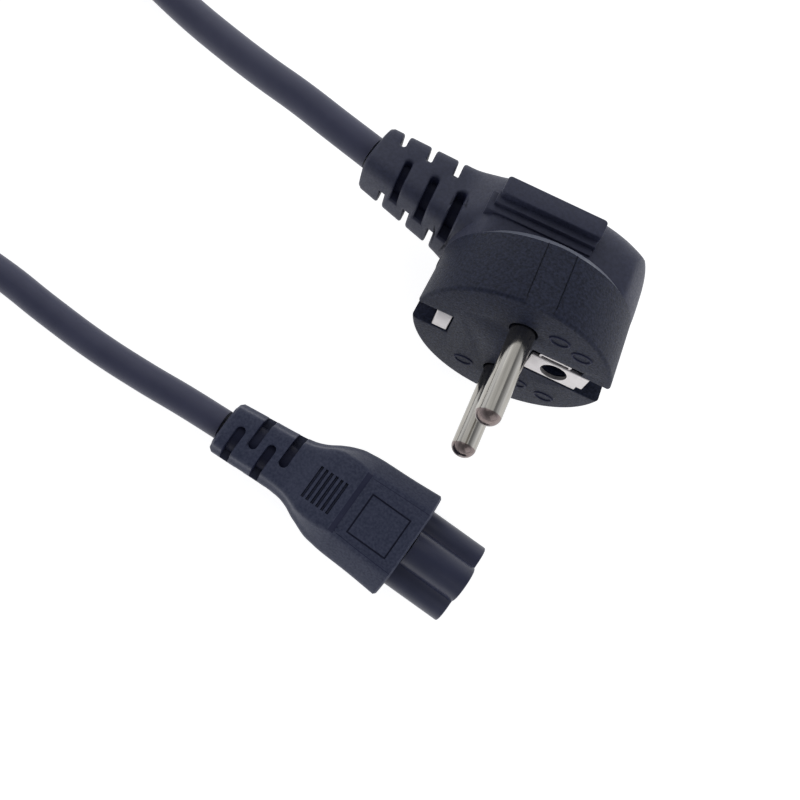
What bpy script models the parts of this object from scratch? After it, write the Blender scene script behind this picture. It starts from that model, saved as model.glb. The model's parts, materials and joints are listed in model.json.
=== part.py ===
"""A mains cord set: an angled, earthed two-pin plug and a cloverleaf connector on one black cord.

The plug lies on the rear rim of its disc and on the edge of its lower grip bar, pins raised a little.
The connector lies flat with its nose along +X. Both leads run towards -X, where the rest of the cord
is wound into a flat coil and held by a strap. Metres, +Z up, the floor at Z = 0.
"""

import math

import bmesh
import bpy
from mathutils import Vector

MM = 0.001

# Clearance between pieces that touch
SEAT_GAP = 0.3 * MM

# Facets around round work
DISC_STEPS = 96
PIN_STEPS = 32
BODY_STEPS = 64
CORNER_STEPS = 5

# Plug disc: the round part that enters the socket, face forward
FACE_DIAMETER = 39.0 * MM
FACE_EDGE = 0.4 * MM
DISC_DEPTH = 13.0 * MM
DISC_TAPER = 0.045
REAR_CHAMFER = 1.9 * MM
SIDE_FLAT_WIDTH = 5.5 * MM
SIDE_FLAT_DEPTH = 0.35 * MM

# Plug back: the body behind the disc, flat above and below
BACK_HALF_HEIGHT = 13.0 * MM
# Sections of the back in mm: depth behind the face, how much narrower, how much lower, squareness
BACK_STATIONS = [
    (11.5, 0.6, 0.0, 8.0), (13.2, 0.0, 0.0, 8.0), (20.0, 0.15, 0.0, 7.0), (23.5, 0.5, 0.4, 4.0),
    (25.5, 1.1, 1.0, 2.8), (27.0, 2.1, 2.0, 2.3), (28.0, 3.5, 3.4, 2.1), (28.4, 5.2, 4.8, 2.0),
]

# Plug grip bars, one on each flat
BAR_LENGTH = 19.6 * MM
BAR_WIDTH = 3.9 * MM
BAR_TOP = 16.3 * MM
BAR_REAR = 24.0 * MM
BAR_SHIFT = 4.0 * MM
BAR_SINK = 3.0 * MM

# Plug strain relief, and the neck that spreads from it to the full height of the back
NECK_ROOT = 10.0 * MM
NECK_START = 12.0 * MM
NECK_END = 21.5 * MM
NECK_STEPS = 7
NECK_SINK = 1.2 * MM
NECK_FLUSH = 0.05 * MM
NECK_ROUNDING = 8.0 * MM
RELIEF_END = 38.8 * MM
RELIEF_SETBACK = 22.95 * MM
RELIEF_SETBACK_AT = 22.0 * MM
RELIEF_SLANT = 0.174
RELIEF_HALF = 6.79 * MM
RELIEF_TAPER = 0.086
RELIEF_ROUNDING = 3.0 * MM
ROUNDING_LIMIT = 0.9
RELIEF_CHAMFER = 0.8 * MM
RELIEF_PITCH = 5.75 * MM
RELIEF_WINDOW_AT = 20.2 * MM
RELIEF_WINDOW_WIDTH = 1.7 * MM
RELIEF_NOTCH_AT = 22.8 * MM
RELIEF_NOTCH_WIDTH = 1.5 * MM
RELIEF_NOTCH_INSET = 2.0 * MM
RELIEF_CORE_RADIUS = 3.9 * MM
RELIEF_ROWS = 3

# Pins
PIN_DIAMETER = 4.8 * MM
PIN_LENGTH = 19.0 * MM
PIN_SPACING = 19.0 * MM
PIN_TIP_ROUNDING = 2.2 * MM
PIN_SEAT_DEPTH = 9.0 * MM

# Earth contacts in the plug's face
CHANNEL_WIDTH = 6.6 * MM
CHANNEL_INNER = 12.0 * MM
CHANNEL_DEPTH = 10.5 * MM
CLIP_WIDTH = 6.0 * MM
CLIP_THICKNESS = 0.8 * MM
CLIP_OUTER = 15.3 * MM
CLIP_INSET = 0.15 * MM
CLIP_LEG = 9.0 * MM
EARTH_HOLE_AT = 9.0 * MM
EARTH_HOLE_RADIUS = 2.6 * MM
EARTH_HOLE_DEPTH = 12.0 * MM
EARTH_PLATE_INNER = 3.6 * MM
EARTH_POCKET_DEPTH = 1.3 * MM

# Connector body, its shoulder plane at the nose's root
SHOULDER_HALF_WIDTH = 11.3 * MM
CONNECTOR_HEIGHT = 15.0 * MM
CONNECTOR_LENGTH = 42.0 * MM
CONNECTOR_SWAY = 1.65 * MM
SWAY_START = 20.0 * MM
CONNECTOR_FOOT = 1.2 * MM
# Sections in mm: place behind the shoulder, how much narrower, how far the underside is raised,
# how much lower the top is, half the top's width, height of the sides
CONNECTOR_STATIONS = [
    (0.0, 0.4, 0.4, 0.4, 6.4, 9.6), (0.4, 0.0, 0.0, 0.0, 6.6, 9.8), (6.5, 0.45, 0.0, 0.0, 6.5, 9.8),
    (13.3, 0.7, 0.0, 0.0, 6.3, 9.6), (14.5, 0.8, 0.0, -0.6, 6.1, 9.6), (17.6, 1.35, 0.0, -0.3, 6.0, 9.4),
    (21.3, 2.85, 0.5, 0.6, 5.6, 9.2), (23.6, 4.1, 1.1, 1.6, 4.9, 9.0), (26.0, 4.9, 1.6, 2.5, 4.3, 8.8),
    (30.0, 5.3, 1.7, 3.1, 4.0, 8.5), (36.0, 5.5, 1.4, 3.7, 3.9, 8.0), (41.4, 5.7, 1.1, 4.2, 3.7, 7.4),
    (42.0, 6.2, 1.7, 4.8, 3.2, 7.3),
]
PAD_LENGTH = 12.7 * MM
PAD_HALF_WIDTH = 5.8 * MM
PAD_RISE = 0.1 * MM
PAD_SHIFT = 0.9 * MM

# Connector strain relief slots
SLOT_WIDTH = 1.8 * MM
SLOT_FIRST = 28.4 * MM
SLOT_PITCH = 3.38 * MM
SLOT_COUNT = 4
SLOT_OVERRUN = 1.4 * MM
SLOT_REACH = 9.0 * MM
SLOT_AXIS_HEIGHT = 6.9 * MM
SLOT_AXIS_FALL = 0.06
SLOT_CORE_RADIUS = 3.7 * MM

# Connector nose: two side lobes and the raised earth lobe
NOSE_LENGTH = 12.45 * MM
NOSE_HEIGHT = 5.8 * MM
NOSE_CHAMFER = 0.3 * MM
LOBE_RADIUS = 3.4 * MM
LOBE_FILLET = 0.4 * MM
LOBE_SPACING = 10.0 * MM
EARTH_LOBE_RADIUS = 3.8 * MM
EARTH_LOBE_RISE = 3.9 * MM
CONTACT_HOLE_RADIUS = 1.6 * MM
CONTACT_DEPTH = 10.2 * MM
CONTACT_RECESS = 1.2 * MM
CONTACT_WALL = 0.25 * MM
CONTACT_FLOOR = 1.3 * MM

# Cord and coil
CORD_DIAMETER = 6.2 * MM
COIL_MEAN_RADIUS = 34.5 * MM
COIL_TURNS_ACROSS = 3
COIL_TURNS_HIGH = 2
STRAP_WIDTH = 12.0 * MM
STRAP_THICKNESS = 0.9 * MM
STRAP_SLACK = 0.8 * MM

# Places on the floor, the origin under the middle of the plug and the connector
PLUG_AT = (12.09 * MM, 9.92 * MM)
PLUG_YAW = math.radians(190.6)
CONNECTOR_AT = (18.2 * MM, -29.2 * MM)
COIL_AT = (-158.5 * MM, 0.0)

# Routes of the two leads, chosen by hand, from each strain relief to the coil
ROUTE_SPACING = 14.0 * MM
PLUG_LEAD_ROUTE = [
    (-0.0312, 0.0279, 0.0154), (-0.0400, 0.0284, 0.0149), (-0.0494, 0.0293, 0.0134),
    (-0.0590, 0.0301, 0.0111), (-0.0695, 0.0314, 0.0083), (-0.0800, 0.0330, 0.0058),
    (-0.0930, 0.0353, 0.0039), (-0.1070, 0.0379, 0.0033), (-0.1210, 0.0400, 0.0036),
    (-0.1355, 0.0407, 0.0043),
]
CONNECTOR_LEAD_ROUTE = [
    (-0.0243, -0.0309, 0.0058), (-0.0330, -0.0314, 0.0051), (-0.0430, -0.0322, 0.0039),
    (-0.0540, -0.0327, 0.0033), (-0.0660, -0.0325, 0.0032), (-0.0775, -0.0320, 0.0032),
    (-0.0900, -0.0326, 0.0034), (-0.1020, -0.0349, 0.0046), (-0.1140, -0.0380, 0.0067),
    (-0.1250, -0.0400, 0.0089), (-0.1355, -0.0407, 0.0103),
]

# Worked out from the sizes above
FACE_RADIUS = FACE_DIAMETER / 2
RIM_RADIUS = FACE_RADIUS - DISC_DEPTH * DISC_TAPER
BACK_RADIUS = RIM_RADIUS - 0.05 * MM
PLUG_TILT = math.atan2(RIM_RADIUS - BAR_TOP, BAR_REAR - DISC_DEPTH)
PLUG_HEIGHT = DISC_DEPTH * math.sin(PLUG_TILT) + RIM_RADIUS * math.cos(PLUG_TILT)
PIN_RADIUS = PIN_DIAMETER / 2
CORD_RADIUS = CORD_DIAMETER / 2
COIL_WIDTH = COIL_TURNS_ACROSS * CORD_DIAMETER
COIL_HEIGHT = COIL_TURNS_HIGH * CORD_DIAMETER
COIL_BASE = STRAP_THICKNESS + SEAT_GAP


def clear_scene():
    """Remove every object that the file opened with."""
    for item in list(bpy.data.objects):
        bpy.data.objects.remove(item, do_unlink=True)


def make_collection(name):
    """Add a collection to the scene."""
    collection = bpy.data.collections.new(name)
    bpy.context.scene.collection.children.link(collection)
    return collection


def make_material(name, colour, roughness, metallic):
    """Make a Principled material of one colour."""
    material = bpy.data.materials.new(name)
    material.use_nodes = True
    shader = material.node_tree.nodes["Principled BSDF"]
    shader.inputs["Base Color"].default_value = (*colour, 1.0)
    shader.inputs["Roughness"].default_value = roughness
    shader.inputs["Metallic"].default_value = metallic
    return material


def make_frame(name, location, rotation, collection):
    """Add an empty that the pieces of one sub-assembly are parented to."""
    frame = bpy.data.objects.new(name, None)
    frame.location = location
    frame.rotation_euler = rotation
    collection.objects.link(frame)
    return frame


def add_object(name, mesh, parent, collection, material=None):
    """Link a mesh as an object under a frame."""
    item = bpy.data.objects.new(name, mesh)
    item.parent = parent
    collection.objects.link(item)
    if material:
        mesh.materials.append(material)
    return item


def finish_mesh(name, shape, smooth_angle=40):
    """Turn a bmesh into a mesh with outward faces and smooth round sides."""
    bmesh.ops.recalc_face_normals(shape, faces=shape.faces)
    mesh = bpy.data.meshes.new(name)
    shape.to_mesh(mesh)
    shape.free()
    mesh.shade_smooth()
    mesh.set_sharp_from_angle(angle=math.radians(smooth_angle))
    return mesh


def box(name, low, high, parent, collection):
    """A box between two corners."""
    shape = bmesh.new()
    bmesh.ops.create_cube(shape, size=1.0)
    size = Vector(high) - Vector(low)
    bmesh.ops.scale(shape, vec=size, verts=shape.verts)
    bmesh.ops.translate(shape, vec=(Vector(low) + Vector(high)) / 2, verts=shape.verts)
    return add_object(name, finish_mesh(name, shape), parent, collection)


def cylinder(name, radius, start, end, parent, collection, material=None, steps=PIN_STEPS):
    """A plain cylinder from one point to another."""
    start, end = Vector(start), Vector(end)
    shape = bmesh.new()
    bmesh.ops.create_cone(shape, cap_ends=True, segments=steps, radius1=radius, radius2=radius,
                          depth=(end - start).length)
    turn = Vector((0, 0, 1)).rotation_difference(end - start).to_matrix().to_4x4()
    bmesh.ops.transform(shape, matrix=turn, verts=shape.verts)
    bmesh.ops.translate(shape, vec=(start + end) / 2, verts=shape.verts)
    return add_object(name, finish_mesh(name, shape), parent, collection, material)


def turned(name, profile, steps, parent, collection, material=None):
    """A turned solid about Z from a profile of radius and height that runs down its outer side."""
    mesh = bpy.data.meshes.new(name)
    points = [(radius, 0.0, height) for radius, height in profile]
    mesh.from_pydata(points, [(i, i + 1) for i in range(len(points) - 1)], [])
    item = add_object(name, mesh, parent, collection, material)
    screw = item.modifiers.new("turn", "SCREW")
    screw.axis = "Z"
    screw.angle = math.tau
    screw.steps = steps
    screw.render_steps = steps
    screw.use_merge_vertices = True
    screw.merge_threshold = 0.00001
    screw.use_smooth_shade = True
    return item


def loft(name, rings, parent, collection, material=None):
    """A closed solid through rings of equally many points, capped at both ends."""
    shape = bmesh.new()
    rows = [[shape.verts.new(point) for point in ring] for ring in rings]
    for row, following in zip(rows, rows[1:]):
        for i in range(len(row)):
            j = (i + 1) % len(row)
            shape.faces.new((row[i], row[j], following[j]))
            shape.faces.new((row[i], following[j], following[i]))
    shape.faces.new(rows[0])
    shape.faces.new(rows[-1])
    return add_object(name, finish_mesh(name, shape), parent, collection, material)


def extruded(name, outline, thickness, collection):
    """A flat outline made solid by a filled curve, returned as a mesh object in its own plane."""
    curve = bpy.data.curves.new(name, "CURVE")
    curve.dimensions = "2D"
    curve.fill_mode = "BOTH"
    curve.extrude = thickness / 2
    spline = curve.splines.new("POLY")
    spline.points.add(len(outline) - 1)
    for point, (across, up) in zip(spline.points, outline):
        point.co = (across, up, 0.0, 1.0)
    spline.use_cyclic_u = True
    return curve_to_mesh_object(name, curve, collection)


def curve_to_mesh_object(name, curve, collection):
    """Replace a curve by a mesh object with its caps welded."""
    drawn = bpy.data.objects.new(name + "_drawn", curve)
    collection.objects.link(drawn)
    graph = bpy.context.evaluated_depsgraph_get()
    mesh = bpy.data.meshes.new_from_object(drawn.evaluated_get(graph))
    placed = drawn.matrix_world.copy()
    bpy.data.objects.remove(drawn)
    shape = bmesh.new()
    shape.from_mesh(mesh)
    bmesh.ops.remove_doubles(shape, verts=shape.verts, dist=0.00001)
    bpy.data.meshes.remove(mesh)
    item = bpy.data.objects.new(name, finish_mesh(name, shape))
    item.matrix_world = placed
    collection.objects.link(item)
    return item


def boolean(target, tool, operation):
    """Join or cut a piece with a tool object that stays hidden from renders."""
    modifier = target.modifiers.new(tool.name, "BOOLEAN")
    modifier.operation = operation
    modifier.solver = "EXACT"
    modifier.object = tool
    tool.hide_render = True
    tool.display_type = "WIRE"


def rounded_rectangle(half_across, half_up, rounding):
    """Points round a rectangle with round corners, counter-clockwise, centred on zero."""
    points = []
    for corner, (side, rise) in enumerate([(1, 1), (-1, 1), (-1, -1), (1, -1)]):
        middle = (side * (half_across - rounding), rise * (half_up - rounding))
        for step in range(CORNER_STEPS + 1):
            angle = math.radians(90 * (corner + step / CORNER_STEPS))
            points.append((middle[0] + rounding * math.cos(angle), middle[1] + rounding * math.sin(angle)))
    return points


def arc(middle, radius, start, end, steps):
    """Points along an arc, with angles in degrees."""
    points = []
    for step in range(steps + 1):
        angle = math.radians(start + (end - start) * step / steps)
        points.append((middle[0] + radius * math.cos(angle), middle[1] + radius * math.sin(angle)))
    return points


def clipped_round(radius, half_height, squareness):
    """Points round a circle that is flattened above and below, rounder as squareness falls to 2."""
    points = []
    for step in range(BODY_STEPS):
        angle = math.tau * step / BODY_STEPS
        across = abs(math.cos(angle)) / radius
        up = abs(math.sin(angle)) / half_height
        reach = min(radius, (across ** squareness + up ** squareness) ** (-1 / squareness))
        points.append((reach * math.cos(angle), reach * math.sin(angle)))
    return points


def relief_setback(along):
    """How far behind the plug's face the strain relief's axis runs."""
    return RELIEF_SETBACK + RELIEF_SLANT * (along - RELIEF_SETBACK_AT)


def relief_half(along):
    """Half the strain relief's size across."""
    return RELIEF_HALF - RELIEF_TAPER * (along - RELIEF_SETBACK_AT)


def build_disc(frame, collection):
    """The plug's disc, turned about the line of its pins."""
    rear_radius = RIM_RADIUS - REAR_CHAMFER
    profile = [(0.0, 0.0), (FACE_RADIUS - FACE_EDGE, 0.0), (FACE_RADIUS, -FACE_EDGE),
               (RIM_RADIUS, -DISC_DEPTH), (rear_radius, -DISC_DEPTH - REAR_CHAMFER),
               (0.0, -DISC_DEPTH - REAR_CHAMFER)]
    disc = turned("disc_round", profile, DISC_STEPS, frame, collection)
    disc.rotation_euler = (-math.pi / 2, 0, 0)
    return disc


def build_back(frame, collection):
    """The body behind the disc, a loft that rounds off towards the rear."""
    rings = []
    for depth, narrower, lower, squareness in BACK_STATIONS:
        outline = clipped_round(BACK_RADIUS - narrower * MM, BACK_HALF_HEIGHT - lower * MM, squareness)
        rings.append([(across, -depth * MM, up) for across, up in outline])
    return loft("back_round", rings, frame, collection)


def neck_share(along):
    """How far the neck has spread towards the back: 0 at the strain relief, 1 at the body."""
    share = min(1.0, max(0.0, (NECK_END - along) / (NECK_END - NECK_START)))
    return share * share * (3 - 2 * share)


def relief_ring(along, shrink):
    """One section of the neck and strain relief, square to their slanted axis at the free end."""
    half = relief_half(along)
    share = neck_share(along)
    half_up = half + share * (BACK_HALF_HEIGHT - NECK_FLUSH - half) - shrink
    half_out = half - shrink
    spread = RELIEF_ROUNDING + share * (NECK_ROUNDING - RELIEF_ROUNDING)
    rounding = min(spread, ROUNDING_LIMIT * half_out) - shrink
    points = rounded_rectangle(half_out, half_up, rounding)
    return [(along + RELIEF_SLANT * out, out - relief_setback(along), up) for out, up in points]


def build_relief(frame, collection):
    """The plug's neck and strain relief, before its windows are cut."""
    rings = [relief_ring(NECK_ROOT, NECK_SINK)]
    for step in range(NECK_STEPS + 1):
        rings.append(relief_ring(NECK_START + (NECK_END - NECK_START) * step / NECK_STEPS, 0.0))
    rings += [relief_ring(RELIEF_END - RELIEF_CHAMFER, 0.0), relief_ring(RELIEF_END, RELIEF_CHAMFER)]
    return loft("relief_round", rings, frame, collection)


def relief_window(name, along, width, quarter, inset, frame, collection):
    """A cutter for one quarter of the strain relief, with the core round the cord left standing."""
    out_side, up_side = quarter
    reach = RELIEF_HALF + 2 * MM
    setback = relief_setback(along)
    outs = sorted((out_side * inset - setback, out_side * reach - setback))
    ups = sorted((0.0, up_side * reach))
    cutter = box(name, (along - width / 2, outs[0], ups[0]), (along + width / 2, outs[1], ups[1]),
                 frame, collection)
    core = cylinder(name + "_core", RELIEF_CORE_RADIUS,
                    (along - width, -relief_setback(along - width), 0),
                    (along + width, -relief_setback(along + width), 0), frame, collection)
    boolean(cutter, core, "DIFFERENCE")
    return cutter


def build_plug_body(frame, parts, tools, material):
    """The plug's one moulded body with its strain relief."""
    body = build_disc(frame, parts)
    body.name = "plug_body"
    body.data.materials.append(material)
    boolean(body, build_back(frame, tools), "UNION")
    boolean(body, build_relief(frame, tools), "UNION")
    for side, name in ((1, "upper"), (-1, "lower")):
        rises = sorted((side * (BACK_HALF_HEIGHT - BAR_SINK), side * BAR_TOP))
        bar = box(name + "_grip_bar", (BAR_SHIFT - BAR_LENGTH / 2, -BAR_REAR, rises[0]),
                  (BAR_SHIFT + BAR_LENGTH / 2, BAR_WIDTH - BAR_REAR, rises[1]), frame, tools)
        boolean(body, bar, "UNION")
        flats = sorted((side * (FACE_RADIUS - SIDE_FLAT_DEPTH), side * (FACE_RADIUS + MM)))
        flat = box(name + "_side_flat", (-SIDE_FLAT_WIDTH / 2, -DISC_DEPTH - MM, flats[0]),
                   (SIDE_FLAT_WIDTH / 2, MM, flats[1]), frame, tools)
        flat.rotation_euler = (side * math.atan(DISC_TAPER), 0, 0)
        boolean(body, flat, "DIFFERENCE")
        pin_height = side * PIN_SPACING / 2
        hole = cylinder(name + "_pin_seat", PIN_RADIUS + SEAT_GAP,
                        (0, -PIN_SEAT_DEPTH - SEAT_GAP, pin_height), (0, MM, pin_height), frame, tools)
        boolean(body, hole, "DIFFERENCE")
    for side, name in ((1, "cable_side"), (-1, "far_side")):
        reach = sorted((side * CHANNEL_INNER, side * (FACE_RADIUS + MM)))
        channel = box(name + "_channel", (reach[0], -CHANNEL_DEPTH, -CHANNEL_WIDTH / 2),
                      (reach[1], MM, CHANNEL_WIDTH / 2), frame, tools)
        boolean(body, channel, "DIFFERENCE")
    pocket = box("earth_pocket", (-CHANNEL_INNER - MM, -EARTH_POCKET_DEPTH, -CHANNEL_WIDTH / 2),
                 (-EARTH_PLATE_INNER + SEAT_GAP, MM, CHANNEL_WIDTH / 2), frame, tools)
    boolean(body, pocket, "DIFFERENCE")
    hole = cylinder("earth_hole", EARTH_HOLE_RADIUS, (-EARTH_HOLE_AT, -EARTH_HOLE_DEPTH, 0),
                    (-EARTH_HOLE_AT, MM, 0), frame, tools)
    boolean(body, hole, "DIFFERENCE")
    for row in range(RELIEF_ROWS):
        window_at = RELIEF_WINDOW_AT + row * RELIEF_PITCH
        notch_at = RELIEF_NOTCH_AT + row * RELIEF_PITCH
        for quarter, end in (((1, 1), "above"), ((-1, -1), "below")):
            window = relief_window("relief_window_%s_%d" % (end, row), window_at, RELIEF_WINDOW_WIDTH,
                                   quarter, 0.0, frame, tools)
            boolean(body, window, "DIFFERENCE")
        for quarter, end in (((-1, 1), "above"), ((1, -1), "below")):
            notch = relief_window("relief_notch_%s_%d" % (end, row), notch_at, RELIEF_NOTCH_WIDTH,
                                  quarter, RELIEF_NOTCH_INSET, frame, tools)
            boolean(body, notch, "DIFFERENCE")
    return body


def build_pin(name, height, frame, collection, material):
    """One round pin with a rounded tip, seated in the body."""
    tip = arc((PIN_RADIUS - PIN_TIP_ROUNDING, PIN_LENGTH - PIN_TIP_ROUNDING), PIN_TIP_ROUNDING, 75, 0, 5)
    profile = [(0.0, PIN_LENGTH), *tip, (PIN_RADIUS, -PIN_SEAT_DEPTH), (0.0, -PIN_SEAT_DEPTH)]
    pin = turned(name, profile, PIN_STEPS, frame, collection, material)
    pin.rotation_euler = (-math.pi / 2, 0, 0)
    pin.location = (0, 0, height)
    return pin


def build_clip(name, side, inner, frame, collection, tools, material):
    """A folded earth contact: a front strip flush with the face and a leg that runs back in the channel."""
    front = -CLIP_INSET
    back = front - CLIP_THICKNESS
    outline = [(inner, front), (CLIP_OUTER, front), (CLIP_OUTER, -CLIP_LEG),
               (CLIP_OUTER - CLIP_THICKNESS, -CLIP_LEG), (CLIP_OUTER - CLIP_THICKNESS, back), (inner, back)]
    clip = extruded(name, [(side * across, out) for across, out in outline], CLIP_WIDTH, collection)
    clip.parent = frame
    clip.data.materials.append(material)
    if side < 0:
        hole = cylinder(name + "_hole", EARTH_HOLE_RADIUS, (-EARTH_HOLE_AT, -CLIP_LEG, 0),
                        (-EARTH_HOLE_AT, MM, 0), frame, tools)
        boolean(clip, hole, "DIFFERENCE")
    return clip


def build_plug(parts, tools, vinyl, nickel, contact_metal):
    """The whole plug, lying on its rear rim and its lower grip bar."""
    frame = make_frame("plug_frame", (*PLUG_AT, PLUG_HEIGHT), (PLUG_TILT, 0, PLUG_YAW), tools)
    build_plug_body(frame, parts, tools, vinyl)
    build_pin("plug_pin_upper", PIN_SPACING / 2, frame, parts, nickel)
    build_pin("plug_pin_lower", -PIN_SPACING / 2, frame, parts, nickel)
    build_clip("earth_clip_cable_side", 1, CHANNEL_INNER + SEAT_GAP, frame, parts, tools, contact_metal)
    build_clip("earth_clip_far_side", -1, EARTH_PLATE_INNER, frame, parts, tools, contact_metal)


def connector_sway(along):
    """How far the connector's axis has moved to the side at a place behind its shoulder."""
    return -CONNECTOR_SWAY * max(0.0, (along - SWAY_START) / (CONNECTOR_LENGTH - SWAY_START))


def connector_ring(along, half_width, underside, top, top_half_width, side_top):
    """One section across the connector's body, swaying sideways towards the cord."""
    sway = connector_sway(along)
    outline = [(half_width - CONNECTOR_FOOT, underside), (half_width, underside + CONNECTOR_FOOT),
               (half_width, side_top), (half_width - 0.9 * MM, side_top + 1.3 * MM),
               (top_half_width + 0.6 * MM, top - 0.35 * MM), (top_half_width - 0.6 * MM, top)]
    outline += [(-across, up) for across, up in reversed(outline)]
    return [(-along, across + sway, up) for across, up in outline]


def build_connector_body(frame, parts, tools, material):
    """The connector's overmoulded body with its strain relief."""
    rings = []
    for along, narrower, raised, lower, flat, side in CONNECTOR_STATIONS:
        rings.append(connector_ring(along * MM, SHOULDER_HALF_WIDTH - narrower * MM, raised * MM,
                                    CONNECTOR_HEIGHT - lower * MM, flat * MM, side * MM))
    body = loft("connector_body", rings, frame, parts, material)
    pad = box("label_pad", (-PAD_SHIFT - PAD_LENGTH, -PAD_HALF_WIDTH, CONNECTOR_HEIGHT - MM),
              (-PAD_SHIFT, PAD_HALF_WIDTH, CONNECTOR_HEIGHT + PAD_RISE), frame, tools)
    boolean(body, pad, "UNION")
    for row in range(SLOT_COUNT):
        along = SLOT_FIRST + row * SLOT_PITCH
        sway = connector_sway(along)
        axis_height = SLOT_AXIS_HEIGHT - SLOT_AXIS_FALL * (along - SLOT_FIRST)
        side = 1 if row % 2 == 0 else -1
        for up_side, end in ((1, "above"), (-1, "below")):
            reach = side * up_side
            acrosses = sorted((sway - reach * SLOT_OVERRUN, sway + reach * SLOT_REACH))
            ups = sorted((axis_height, axis_height + up_side * SLOT_REACH))
            name = "slot_%s_%d" % (end, row)
            cutter = box(name, (-along - SLOT_WIDTH / 2, acrosses[0], ups[0]),
                         (-along + SLOT_WIDTH / 2, acrosses[1], ups[1]), frame, tools)
            core = cylinder(name + "_core", SLOT_CORE_RADIUS, (-along - SLOT_WIDTH, sway, axis_height),
                            (-along + SLOT_WIDTH, sway, axis_height), frame, tools)
            boolean(cutter, core, "DIFFERENCE")
            boolean(body, cutter, "DIFFERENCE")
    return body


def nose_ring(along, shrink):
    """One section of the nose, the cloverleaf outline: two side lobes and a raised middle lobe."""
    half_spacing = LOBE_SPACING / 2
    side_radius = LOBE_RADIUS - shrink
    middle_radius = EARTH_LOBE_RADIUS - shrink
    right = arc((half_spacing, 0), side_radius, -90, 90, 12)
    middle = arc((0, EARTH_LOBE_RISE), middle_radius, 0, 180, 12)
    left = arc((-half_spacing, 0), side_radius, 90, 270, 12)
    root = [(middle_radius + LOBE_FILLET, side_radius), (middle_radius, side_radius + LOBE_FILLET)]
    outline = right + root + middle + [(-across, up) for across, up in reversed(root)] + left
    return [(along, across, NOSE_HEIGHT + up) for across, up in outline]


def build_nose(frame, parts, tools, vinyl, contact_metal):
    """The connector's insert with three contact holes and the sleeves inside them."""
    end = SEAT_GAP + NOSE_LENGTH
    rings = [nose_ring(SEAT_GAP, 0.0), nose_ring(end - NOSE_CHAMFER, 0.0), nose_ring(end, NOSE_CHAMFER)]
    nose = loft("connector_nose", rings, frame, parts, vinyl)
    holes = {"line": (LOBE_SPACING / 2, 0), "neutral": (-LOBE_SPACING / 2, 0), "earth": (0, EARTH_LOBE_RISE)}
    for name, (across, up) in holes.items():
        height = NOSE_HEIGHT + up
        hole = cylinder(name + "_contact_hole", CONTACT_HOLE_RADIUS, (end - CONTACT_DEPTH, across, height),
                        (end + MM, across, height), frame, tools, steps=20)
        boolean(nose, hole, "DIFFERENCE")
        outer = CONTACT_HOLE_RADIUS - SEAT_GAP
        sleeve = cylinder("socket_contact_" + name, outer, (end - CONTACT_DEPTH + SEAT_GAP, across, height),
                          (end - CONTACT_RECESS, across, height), frame, parts, contact_metal, steps=20)
        bore = cylinder(name + "_sleeve_bore", outer - CONTACT_WALL,
                        (end - CONTACT_DEPTH + CONTACT_FLOOR, across, height), (end + MM, across, height),
                        frame, tools, steps=20)
        boolean(sleeve, bore, "DIFFERENCE")


def build_connector(parts, tools, vinyl, insert_vinyl, contact_metal):
    """The whole connector, flat on the floor with its nose along +X."""
    frame = make_frame("connector_frame", (*CONNECTOR_AT, 0.0), (0, 0, 0), tools)
    build_connector_body(frame, parts, tools, vinyl)
    build_nose(frame, parts, tools, insert_vinyl, contact_metal)


def smooth_points(route, spacing):
    """Points read at even steps from a smooth curve through the route's own points."""
    knots = [Vector(point) for point in route]
    knots = [2 * knots[0] - knots[1], *knots, 2 * knots[-1] - knots[-2]]
    fine = []
    for before, start, end, after in zip(knots, knots[1:], knots[2:], knots[3:]):
        for step in range(20):
            t = step / 20
            fine.append(0.5 * (2 * start + (end - before) * t
                               + (2 * before - 5 * start + 4 * end - after) * t ** 2
                               + (3 * start - before - 3 * end + after) * t ** 3))
    fine.append(knots[-2])
    lengths = [0.0]
    for start, end in zip(fine, fine[1:]):
        lengths.append(lengths[-1] + (end - start).length)
    count = max(2, round(lengths[-1] / spacing))
    points = []
    for step in range(count + 1):
        target = lengths[-1] * step / count
        index = min(max(i for i, length in enumerate(lengths) if length <= target), len(fine) - 2)
        share = (target - lengths[index]) / (lengths[index + 1] - lengths[index])
        points.append(fine[index].lerp(fine[index + 1], share))
    return points


def build_lead(name, route, collection, material):
    """One uncoiled stretch of the cord as a plain tube."""
    curve = bpy.data.curves.new(name, "CURVE")
    curve.dimensions = "3D"
    curve.bevel_depth = CORD_RADIUS
    curve.bevel_resolution = 4
    curve.use_fill_caps = True
    points = smooth_points(route, ROUTE_SPACING)
    spline = curve.splines.new("POLY")
    spline.points.add(len(points) - 1)
    for point, place in zip(spline.points, points):
        point.co = (*place, 1.0)
    curve.materials.append(material)
    lead = bpy.data.objects.new(name, curve)
    collection.objects.link(lead)
    return lead


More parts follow.
